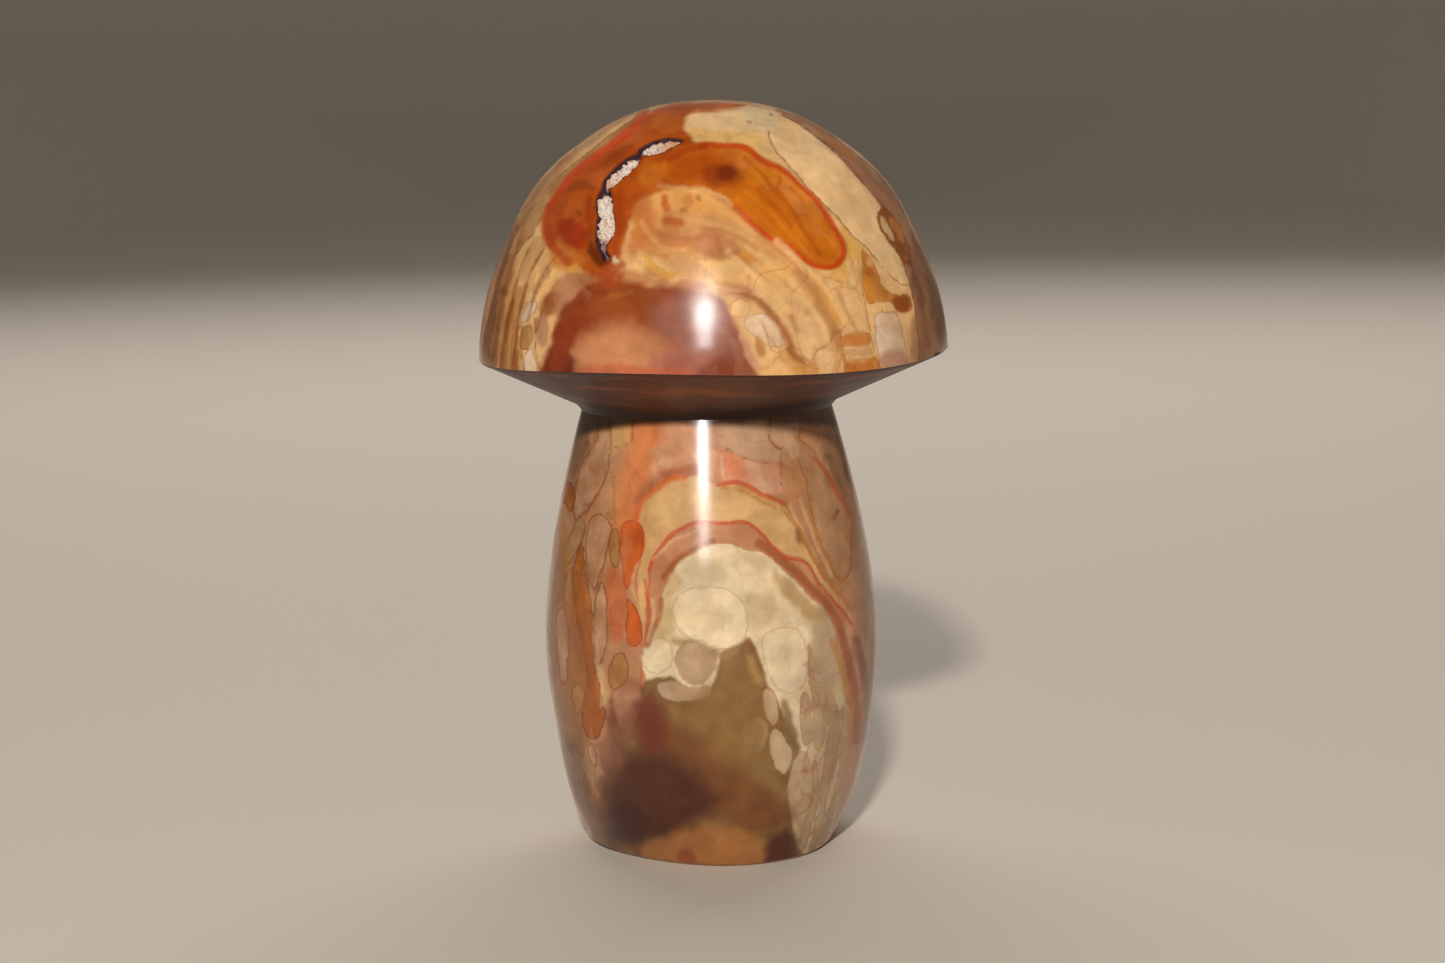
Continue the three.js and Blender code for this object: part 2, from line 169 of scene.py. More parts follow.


# Markings, drawn as outlines over the photograph and given in its pixels

# Soft washes of colour that lie under the marks: name, colour, blur, strength, outline.
UNDER_WASHES = [
    ("cap ground", (224, 178, 120), 2, 1, [(440, 60), (1000, 60), (1000, 400), (440, 400)]),
    ("cap left side", (168, 114, 62), 14, 0.97, [
        (440, 60), (640, 60), (612, 128), (560, 172), (530, 216), (518, 262), (516, 300), (520, 400),
        (440, 400)]),
    ("left dark edge", (118, 62, 24), 4, 0.9, [
        (476, 374), (478, 335), (486, 300), (496, 265), (508, 236), (516, 222), (520, 226), (508, 256),
        (498, 300), (492, 340), (490, 374)]),
    ("left tan stripe", (150, 98, 46), 3, 0.8, [
        (490, 374), (492, 345), (498, 305), (508, 262), (516, 246), (514, 270), (506, 305), (500, 340),
        (498, 374)]),
    ("left red stripe", (140, 60, 14), 3, 0.8, [
        (498, 374), (500, 345), (505, 315), (511, 290), (516, 280), (515, 300), (509, 325), (505, 350),
        (504, 374)]),
    ("left golden stripe", (172, 116, 54), 3, 0.85, [
        (503, 374), (504, 350), (509, 322), (515, 298), (521, 284), (524, 290), (520, 310), (514, 340),
        (513, 374)]),
    ("left orange line", (160, 88, 28), 2.5, 0.8, [
        (512, 374), (513, 340), (518, 308), (524, 286), (528, 280), (528, 288), (522, 310), (518, 340),
        (518, 376)]),
    ("left swirl", (116, 48, 12), 3, 0.8, [(501, 290), (507, 286), (511, 294), (506, 300), (500, 297)]),
    ("left swirl 2", (138, 60, 14), 3, 0.7, [(496, 326), (503, 322), (507, 330), (503, 338), (497, 334)]),
    ("left pale streaks", (186, 140, 90), 4, 0.8, [
        (520, 262), (530, 242), (542, 232), (548, 240), (540, 256), (530, 276), (520, 284)]),
    ("left pale streaks 2", (182, 128, 82), 4, 0.7, [
        (530, 290), (538, 276), (547, 262), (553, 266), (546, 280), (536, 296)]),
    ("left orange", (204, 134, 54), 6, 0.85, [
        (546, 250), (560, 256), (576, 264), (582, 270), (570, 274), (552, 266)]),
    ("left mauve", (158, 94, 60), 8, 0.85, [
        (552, 276), (570, 272), (592, 272), (598, 280), (576, 294), (560, 312), (548, 318), (544, 300)]),
    ("left brown", (144, 80, 42), 5, 0.8, [
        (538, 306), (548, 294), (558, 288), (560, 300), (550, 316), (542, 322)]),
    ("left mauve cell", (174, 124, 94), 3, 0.9, [
        (537, 318), (545, 312), (549, 322), (549, 337), (544, 348), (538, 343), (535, 330)]),
    ("top cream", (222, 186, 136), 8, 1, [
        (684, 114), (745, 107), (775, 108), (800, 122), (826, 143), (792, 143), (765, 135), (740, 133),
        (712, 129), (692, 126)]),
    ("top peach", (218, 174, 104), 7, 0.95, [
        (690, 127), (716, 131), (745, 132), (766, 134), (771, 146), (750, 145), (715, 141), (696, 138)]),
    ("above the lobe", (216, 174, 116), 5, 0.9, [
        (758, 140), (768, 138), (776, 152), (792, 172), (812, 192), (828, 210), (820, 205), (800, 184),
        (780, 166), (764, 154)]),
    ("right of the lobe", (218, 166, 86), 8, 0.95, [
        (834, 212), (850, 232), (862, 246), (864, 285), (845, 290), (826, 276), (848, 256), (842, 235)]),
    ("swirl ground", (206, 146, 86), 12, 1, [
        (640, 190), (690, 184), (735, 200), (760, 232), (800, 262), (790, 275), (740, 262), (700, 262),
        (650, 262), (634, 240), (632, 212)]),
    ("swirl pale top", (214, 158, 90), 9, 0.9, [
        (646, 196), (668, 188), (700, 186), (724, 198), (704, 212), (655, 210)]),
    ("swirl salmon", (188, 118, 64), 10, 0.8, [
        (628, 206), (644, 204), (652, 226), (668, 246), (650, 252), (634, 236)]),
    ("swirl mauve", (178, 108, 66), 9, 0.8, [
        (690, 238), (708, 230), (730, 236), (748, 250), (742, 260), (722, 258), (704, 252)]),
    ("swirl mauve left", (182, 114, 68), 8, 0.75, [
        (655, 232), (672, 228), (690, 230), (700, 242), (680, 252), (660, 248)]),
    ("swirl pale lower", (204, 152, 100), 7, 0.8, [
        (664, 258), (690, 254), (712, 262), (716, 276), (692, 282), (672, 276)]),
    ("below swirl mauve", (168, 102, 66), 6, 0.8, [
        (648, 276), (672, 282), (700, 280), (712, 288), (690, 292), (656, 288)]),
    ("burgundy", (132, 56, 26), 8, 1, [
        (538, 390), (546, 350), (554, 334), (560, 315), (570, 299), (582, 287), (598, 280), (628, 281),
        (660, 285), (700, 290), (726, 298), (736, 318), (742, 340), (752, 362), (768, 390)]),
    ("patch brown", (142, 70, 28), 16, 0.9, [
        (592, 294), (620, 287), (660, 290), (676, 302), (660, 322), (610, 322), (590, 312)]),
    ("patch mauve", (148, 92, 76), 24, 1, [
        (648, 312), (676, 296), (706, 292), (728, 304), (738, 330), (744, 358), (704, 368), (668, 352)]),
    ("patch salmon", (194, 130, 88), 28, 1, [
        (570, 350), (592, 330), (622, 322), (652, 332), (670, 348), (668, 366), (640, 378), (588, 378),
        (570, 366)]),
    ("patch pink", (166, 102, 84), 14, 0.85, [
        (650, 352), (690, 348), (712, 358), (706, 378), (650, 380)]),
    ("patch red foot", (184, 96, 68), 8, 0.85, [
        (580, 366), (620, 364), (660, 368), (694, 370), (694, 384), (580, 384)]),
    ("patch dark right", (130, 62, 42), 10, 0.8, [
        (700, 366), (726, 358), (756, 370), (766, 384), (700, 384)]),
    ("patch dark left", (124, 44, 18), 12, 0.9, [
        (552, 352), (556, 318), (568, 300), (582, 298), (580, 322), (572, 352)]),
    ("patch dark corner", (98, 34, 18), 8, 0.95, [
        (544, 388), (548, 354), (560, 342), (574, 358), (572, 388)]),
    ("patch dark top", (128, 48, 18), 8, 0.85, [
        (574, 298), (590, 284), (614, 280), (616, 290), (592, 298)]),
    ("patch red top", (166, 44, 14), 5, 0.9, [
        (598, 281), (612, 273), (626, 273), (624, 283), (606, 289)]),
    ("patch ochre threads", (154, 92, 34), 4, 0.6, [
        (604, 296), (622, 290), (638, 292), (622, 298), (606, 300)]),
    ("lower right ground", (214, 164, 104), 10, 0.95, [
        (738, 262), (800, 262), (860, 286), (868, 330), (880, 392), (772, 392), (746, 352), (734, 310),
        (716, 290)]),
    ("lower right mauve", (196, 144, 106), 7, 0.7, [
        (716, 284), (740, 282), (760, 292), (756, 300), (736, 296), (720, 296)]),
    ("lower right cell", (210, 166, 116), 7, 0.8, [
        (788, 296), (800, 292), (812, 304), (826, 326), (832, 345), (830, 364), (814, 362), (800, 346),
        (794, 322)]),
    ("lower right pink", (204, 160, 124), 8, 0.8, [
        (806, 340), (824, 336), (832, 350), (828, 364), (814, 362)]),
    ("lower right gold", (208, 144, 62), 6, 0.85, [
        (778, 352), (790, 347), (800, 354), (816, 368), (830, 374), (812, 378), (790, 368)]),
    ("stem ground", (178, 126, 88), 2, 1, [(520, 400), (900, 400), (900, 900), (520, 900)]),
    ("stem left side", (152, 100, 54), 14, 0.95, [
        (520, 500), (562, 520), (572, 560), (574, 620), (584, 700), (590, 760), (594, 900), (520, 900)]),
    ("stem left edge", (128, 90, 52), 7, 0.8, [
        (540, 420), (572, 430), (560, 500), (554, 600), (554, 720), (530, 720), (530, 500)]),
    ("stem left brown", (106, 66, 34), 14, 0.9, [
        (548, 730), (578, 736), (594, 790), (604, 850), (600, 870), (540, 870)]),
    ("stem upper left mauve", (156, 110, 76), 10, 0.85, [
        (562, 430), (612, 422), (612, 450), (604, 490), (586, 520), (566, 520)]),
    ("stem upper left tan", (150, 108, 60), 6, 0.8, [
        (578, 470), (590, 452), (604, 430), (608, 436), (598, 462), (584, 480)]),
    ("stem upper left dark", (120, 78, 46), 6, 0.8, [
        (570, 440), (584, 432), (590, 446), (580, 470), (572, 480)]),
    ("stem corner ochre", (184, 146, 90), 4, 0.95, [
        (611, 424), (648, 420), (645, 428), (636, 436), (625, 446), (612, 448)]),
    ("stem orange glow", (200, 116, 68), 18, 0.95, [
        (636, 418), (684, 420), (684, 446), (656, 470), (640, 500), (636, 530), (608, 530), (614, 490),
        (624, 456)]),
    ("stem pink crown", (198, 144, 110), 12, 0.9, [
        (654, 440), (704, 430), (704, 470), (676, 476), (650, 486)]),
    ("stem mauve crown", (166, 94, 62), 9, 0.9, [
        (632, 504), (640, 486), (660, 470), (704, 461), (704, 474), (676, 477), (654, 488), (640, 508)]),
    ("stem grey crown right", (184, 148, 118), 9, 0.9, [
        (714, 426), (752, 428), (782, 450), (784, 463), (750, 460), (720, 446)]),
    ("stem salmon right", (204, 118, 80), 8, 0.95, [
        (716, 448), (730, 452), (744, 466), (750, 486), (730, 480), (716, 480)]),
    ("stem salmon right 2", (188, 140, 108), 8, 0.9, [
        (744, 458), (782, 466), (786, 498), (764, 492), (748, 480)]),
    ("stem pale lilac", (166, 120, 86), 8, 0.85, [
        (586, 556), (606, 560), (610, 600), (610, 650), (598, 672), (588, 620)]),
    ("stem beige left", (174, 124, 80), 6, 0.8, [
        (584, 512), (606, 516), (608, 545), (602, 570), (592, 580), (585, 560)]),
    ("stem salmon left", (184, 98, 56), 9, 0.95, [
        (604, 566), (624, 572), (627, 600), (624, 640), (611, 646), (606, 610)]),
    ("stem pale above ochre cell", (176, 124, 82), 5, 0.7, [
        (600, 500), (616, 504), (618, 524), (606, 524)]),
    ("stem left cream", (200, 158, 112), 5, 0.95, [
        (592, 646), (600, 656), (607, 680), (607, 704), (601, 706), (596, 676)]),
    ("stem left lilac low", (150, 98, 70), 8, 0.95, [
        (612, 690), (628, 676), (642, 684), (648, 700), (640, 720), (628, 740), (606, 744), (604, 720)]),
    ("stem left maroon low", (116, 54, 34), 8, 0.7, [
        (612, 696), (622, 700), (620, 730), (606, 740), (608, 712)]),
    ("stem lower left lilac", (140, 92, 66), 8, 0.9, [
        (598, 742), (614, 738), (622, 754), (618, 780), (604, 776)]),
    ("stem lower left tan", (116, 72, 34), 6, 0.9, [
        (596, 776), (608, 780), (614, 810), (612, 850), (598, 840)]),
    ("stem right mauve", (160, 112, 78), 8, 0.95, [
        (812, 430), (840, 438), (900, 480), (900, 700), (858, 700), (857, 600), (852, 520), (838, 482)]),
    ("stem right grey", (122, 84, 60), 5, 0.7, [
        (822, 440), (832, 450), (846, 490), (848, 500), (838, 486), (826, 460)]),
    ("stem right red edge", (112, 62, 30), 6, 0.85, [
        (836, 436), (852, 440), (868, 500), (876, 560), (868, 560), (854, 500), (842, 462)]),
    ("stem right brown", (120, 78, 50), 8, 0.85, [
        (862, 540), (900, 540), (900, 760), (868, 740), (866, 640)]),
    ("stem right pale", (144, 110, 80), 5, 0.7, [
        (856, 520), (864, 520), (872, 600), (872, 660), (866, 660), (862, 600)]),
]

# Marks with a clear edge, from the lowest to the topmost:
# name, first colour, second colour, blur, line colour, line width, line strength, outlines.
MARKS = [
    ("left_band", (178, 128, 74), (158, 110, 60), 4, (112, 66, 32), 1.2, 0.6, [
        [(646, 106), (634, 118), (612, 133), (600, 143), (587, 153), (570, 167), (555, 180), (542, 193),
         (533, 208), (525, 220), (517, 232), (508, 252), (514, 258), (524, 244), (536, 230), (546, 212),
         (560, 196), (585, 170), (620, 135), (650, 112)]]),
    ("orange_field", (178, 82, 18), (162, 68, 14), 7, (176, 54, 14), 1, 0, [
        [(645, 113), (664, 104), (700, 97), (738, 97), (748, 104), (735, 110), (712, 111), (690, 113),
         (682, 124), (690, 136), (700, 146), (704, 160), (706, 186), (682, 188), (662, 190), (646, 198),
         (634, 210), (627, 228), (624, 248), (618, 264), (604, 276), (588, 276), (574, 262), (560, 258),
         (546, 246), (541, 232), (541, 220), (545, 210), (552, 198), (560, 188), (568, 178), (577, 168),
         (587, 160), (598, 150), (613, 143), (620, 135), (630, 125)]]),
    ("finger_lobe", (200, 110, 20), (190, 98, 14), 4, (176, 54, 14), 1, 0, [
        [(672, 150), (686, 146), (700, 142), (712, 142), (730, 144), (743, 144), (752, 148), (758, 154),
         (765, 160), (775, 164), (783, 169), (790, 175), (800, 184), (810, 192), (817, 199), (825, 210),
         (832, 222), (838, 232), (844, 242), (847, 252), (845, 260), (838, 267), (828, 270), (817, 268),
         (805, 263), (795, 255), (785, 246), (770, 237), (757, 230), (748, 220), (738, 208), (724, 196),
         (706, 187), (684, 184), (664, 180), (660, 166)]]),
    ("mauve_side", (164, 116, 82), (146, 98, 66), 2, (112, 56, 26), 1.3, 0.85, [
        [(770, 60), (775, 108), (785, 116), (795, 122), (808, 130), (820, 140), (832, 150), (845, 162),
         (858, 177), (870, 191), (882, 206), (890, 217), (897, 229), (903, 240), (905, 250), (903, 262),
         (908, 275), (911, 295), (915, 310), (918, 335), (921, 385), (1000, 385), (1000, 60)]]),
    ("cream_band", (234, 194, 142), (226, 184, 130), 1.6, (140, 84, 44), 1.1, 0.65, [
        [(764, 118), (768, 131), (769, 140), (775, 150), (785, 163), (795, 174), (805, 184), (815, 195),
         (828, 208), (836, 214), (845, 227), (858, 240), (866, 247), (876, 258), (882, 268), (892, 278),
         (905, 286), (909, 284), (905, 270), (900, 256), (889, 243), (884, 232), (880, 222), (879, 212),
         (881, 205), (869, 191), (857, 177), (844, 162), (831, 150), (819, 140), (807, 130), (794, 122),
         (784, 116), (774, 110), (766, 108)]]),
    ("stem_crown", (204, 164, 112), (190, 146, 96), 1.8, (190, 90, 38), 2.4, 0.5, [
        [(636, 526), (638, 510), (641, 500), (650, 492), (662, 482), (675, 477), (700, 475), (718, 484),
         (735, 482), (745, 484), (757, 490), (770, 497), (784, 503), (795, 520), (803, 540), (812, 560),
         (825, 578), (838, 594), (852, 612), (860, 650), (850, 800), (700, 800), (646, 700), (640, 620),
         (636, 580), (641, 556), (645, 540), (643, 528)]]),
    ("stem_ring", (188, 134, 96), (176, 118, 84), 2, (178, 74, 46), 2.4, 0.55, [
        [(644, 640), (647, 610), (649, 585), (650, 570), (652, 558), (660, 545), (670, 532), (680, 527),
         (690, 523), (702, 521), (718, 522), (745, 521), (755, 527), (765, 537), (772, 548), (785, 557),
         (800, 560), (808, 565), (818, 580), (828, 593), (840, 608), (852, 620), (862, 660), (860, 740),
         (840, 850), (700, 850), (650, 760), (640, 690)]]),
    ("cream_dome", (224, 202, 166), (208, 182, 142), 3, (160, 102, 62), 1.4, 0.4, [
        [(690, 552), (700, 545), (715, 543), (730, 544), (750, 549), (762, 552), (775, 562), (790, 575),
         (805, 592), (815, 602), (826, 610), (831, 625), (836, 650), (842, 672), (848, 695), (851, 720),
         (848, 760), (840, 800), (830, 835), (815, 872), (740, 880), (690, 840), (664, 740), (650, 690),
         (642, 668), (641, 652), (648, 640), (656, 622), (660, 605), (663, 590), (670, 576), (680, 562)]]),
    ("dome_floor", (136, 100, 54), (112, 70, 34), 5, (120, 84, 48), 1, 0, [
        [(632, 706), (638, 690), (650, 678), (672, 676), (690, 690), (712, 692), (719, 665), (722, 650),
         (740, 645), (748, 636), (757, 650), (764, 672), (768, 690), (778, 700), (785, 718), (795, 740),
         (801, 752), (797, 765), (790, 790), (790, 812), (795, 832), (801, 845), (804, 885), (600, 885),
         (600, 830), (604, 800), (606, 775), (612, 752), (622, 735), (632, 720)]]),
    ("stem_flakes", (186, 142, 108), (166, 118, 82), 2, (124, 62, 26), 1.6, 0.65, [
        [(577, 476), (584, 462), (592, 450), (602, 433), (609, 430), (611, 450), (608, 470), (601, 488),
         (591, 506), (583, 514), (576, 522), (572, 506), (575, 490)],
        [(590, 516), (600, 514), (611, 521), (611, 536), (606, 556), (600, 574), (594, 592), (589, 580),
         (586, 560), (585, 540)],
        [(594, 602), (602, 578), (606, 590), (608, 620), (606, 650), (598, 668), (594, 650), (595, 625)],
        [(772, 425), (792, 431), (785, 446), (779, 450), (771, 441), (767, 433)],
        [(588, 743), (594, 742), (597, 755), (597, 768), (592, 766), (588, 754)],
        [(556, 612), (564, 606), (569, 630), (569, 668), (564, 690), (557, 660)]]),
    ("soft_flakes", (170, 124, 92), (156, 104, 76), 5, (138, 84, 52), 1.6, 0.2, [
        [(614, 690), (628, 680), (641, 688), (642, 706), (634, 724), (626, 738), (618, 724), (612, 704)],
        [(600, 744), (613, 740), (622, 754), (620, 774), (608, 770), (601, 760)]]),
    ("crown_right", (206, 158, 128), (194, 140, 110), 3, (190, 100, 60), 1.4, 0.3, [
        [(719, 448), (742, 458), (765, 463), (782, 466), (784, 488), (778, 497), (760, 491), (748, 483),
         (735, 480), (721, 482)]]),
    ("flame_cells", (186, 158, 124), (170, 140, 106), 2.4, (114, 86, 56), 1.6, 0.4, [
        [(808, 640), (814, 660), (824, 680), (829, 700), (827, 730), (819, 752), (813, 745), (815, 715),
         (811, 690), (807, 665)],
        [(829, 688), (836, 700), (841, 730), (837, 760), (829, 790), (821, 812), (819, 790), (825, 760),
         (828, 730), (829, 710)],
        [(813, 756), (819, 772), (819, 795), (813, 820), (805, 852), (801, 842), (807, 810), (811, 785)],
        [(843, 700), (849, 720), (849, 750), (843, 780), (833, 815), (823, 846), (818, 842), (828, 810),
         (837, 780), (841, 745)],
        [(821, 800), (827, 800), (821, 830), (813, 856), (807, 864), (812, 835)],
        [(800, 696), (808, 692), (813, 716), (811, 742), (804, 748), (800, 726)]]),
    ("pink_cell", (178, 132, 94), (168, 120, 84), 1.8, (146, 82, 42), 1.6, 0.6, [
        [(796, 436), (812, 450), (825, 468), (838, 488), (848, 505), (851, 525), (852, 550), (850, 575),
         (842, 583), (835, 572), (825, 555), (818, 535), (812, 510), (808, 495), (806, 478), (798, 462),
         (792, 448)]]),
    ("ochre_strands", (176, 98, 26), (156, 76, 12), 1.8, (108, 46, 12), 1.5, 0.7, [
        [(580, 540), (583, 548), (584, 560), (586, 575), (589, 592), (593, 610), (592, 630), (592, 650),
         (595, 670), (600, 690), (604, 704), (607, 715), (602, 728), (597, 740), (588, 738), (582, 722),
         (584, 706), (588, 688), (587, 668), (583, 648), (578, 628), (575, 605), (573, 590), (572, 575),
         (576, 558)],
        [(570, 480), (575, 492), (574, 505), (571, 515), (567, 506), (561, 498), (565, 486)]]),
    ("cap_ochre_cells", (206, 134, 50), (180, 100, 26), 3, (136, 70, 22), 1.4, 0.4, [
        [(862, 250), (868, 253), (873, 262), (878, 273), (880, 284), (890, 292), (900, 296), (910, 294),
         (911, 312), (900, 312), (892, 303), (884, 300), (874, 304), (866, 300), (863, 285), (864, 268)],
        [(845, 361), (858, 358), (876, 357), (881, 368), (876, 380), (846, 380)],
        [(836, 339), (850, 334), (870, 332), (873, 344), (852, 347), (838, 347)]]),
    ("orange_strands", (200, 96, 38), (182, 76, 24), 2.2, (150, 50, 16), 1.6, 0.6, [
        [(622, 522), (632, 521), (640, 524), (644, 532), (644, 542), (640, 555), (634, 565), (632, 580),
         (628, 590), (624, 585), (622, 565), (620, 545)],
        [(627, 594), (632, 602), (638, 615), (641, 630), (642, 640), (636, 648), (628, 645), (626, 630),
         (629, 614)],
        [(752, 421), (770, 422), (769, 433), (764, 434), (756, 429)]]),
    ("stem_tan_cells", (168, 120, 68), (156, 102, 52), 1.8, (124, 62, 26), 1.5, 0.65, [
        [(620, 650), (628, 660), (630, 670), (625, 682), (615, 692), (610, 683), (607, 670)],
        [(572, 690), (578, 682), (586, 684), (587, 694), (584, 706), (578, 714), (573, 706)],
        [(611, 530), (618, 528), (620, 545), (620, 568), (613, 566), (609, 545)]]),
    ("cap_tan_cells", (228, 184, 126), (214, 166, 112), 3, (166, 104, 60), 1.8, 0.28, [
        [(790, 294), (800, 292), (812, 304), (824, 322), (832, 338), (833, 352), (830, 364), (816, 367),
         (804, 357), (797, 340), (793, 318)],
        [(814, 276), (830, 278), (846, 284), (830, 289), (826, 298), (818, 290)],
        [(846, 290), (852, 262), (858, 256), (860, 284)],
        [(828, 290), (842, 286), (856, 289), (862, 302), (867, 318), (868, 330), (850, 331), (842, 323),
         (834, 308)],
        [(730, 302), (740, 298), (750, 302), (750, 312), (741, 318), (730, 316)]]),
    ("pale_cells", (224, 196, 170), (204, 168, 132), 2.6, (150, 92, 56), 1.5, 0.4, [
        [(743, 322), (750, 316), (760, 312), (770, 317), (780, 325), (783, 340), (785, 345), (778, 349),
         (768, 347), (758, 338), (745, 328)],
        [(531, 300), (536, 301), (537, 307), (532, 316), (525, 323), (521, 322), (520, 314), (525, 306)],
        [(531, 347), (534, 355), (539, 368), (538, 380), (525, 380), (524, 362), (526, 352)],
        [(873, 316), (885, 311), (898, 313), (902, 330), (906, 348), (912, 380), (884, 384), (878, 348)]]),
    ("side_cells", (178, 128, 74), (160, 120, 84), 1.8, (120, 70, 36), 1.4, 0.55, [
        [(521, 328), (531, 324), (533, 332), (530, 345), (524, 352), (521, 345)],
        [(574, 525), (580, 518), (585, 520), (583, 535), (578, 548), (571, 560), (566, 566), (565, 555),
         (568, 540)]]),
    ("lens", (152, 86, 30), (136, 70, 20), 2, (112, 52, 18), 1.4, 0.5, [
        [(881, 205), (887, 210), (894, 218), (901, 230), (907, 243), (912, 258), (909, 265), (902, 261),
         (896, 249), (889, 241), (882, 231), (877, 218)]]),
    ("lens_cream", (212, 176, 130), (198, 160, 112), 2, (150, 92, 44), 1, 0.3, [
        [(881, 212), (885, 218), (890, 229), (896, 240), (892, 242), (886, 234), (880, 223)]]),
    ("lens_ochre", (196, 130, 50), (176, 108, 36), 2, (130, 66, 20), 1, 0.3, [
        [(889, 214), (896, 222), (902, 233), (905, 243), (900, 241), (894, 231), (889, 222)],
        [(903, 254), (909, 256), (909, 262), (904, 261)]]),
    ("grey_blobs", (182, 152, 120), (168, 134, 102), 3, (140, 106, 72), 1.6, 0.25, [
        [(680, 646), (690, 638), (706, 640), (717, 650), (717, 666), (708, 680), (696, 685), (684, 680),
         (676, 668), (674, 656)],
        [(742, 734), (746, 722), (756, 717), (766, 720), (769, 736), (764, 750), (752, 754), (744, 746)],
        [(655, 684), (672, 680), (690, 688), (710, 684), (714, 696), (694, 702), (664, 700)]]),
    ("right_blobs", (190, 162, 126), (174, 144, 108), 2.4, (124, 94, 58), 1.6, 0.35, [
        [(762, 688), (772, 690), (779, 700), (779, 720), (772, 727), (764, 714)],
        [(773, 726), (784, 736), (794, 752), (791, 770), (783, 777), (773, 764), (769, 744)],
        [(793, 762), (800, 750), (810, 756), (814, 790), (808, 812), (800, 846), (790, 820), (788, 790)]]),
    ("pale_blobs", (228, 206, 170), (214, 190, 152), 3, (166, 136, 96), 2, 0.35, [
        [(645, 646), (656, 638), (668, 640), (674, 654), (670, 668), (656, 675), (644, 666), (641, 656)],
        [(672, 606), (680, 592), (700, 586), (726, 588), (742, 598), (750, 620), (744, 642), (722, 651),
         (702, 646), (686, 636), (674, 622)],
        [(762, 634), (785, 626), (800, 630), (808, 656), (807, 680), (796, 694), (776, 690), (764, 664)]]),
]

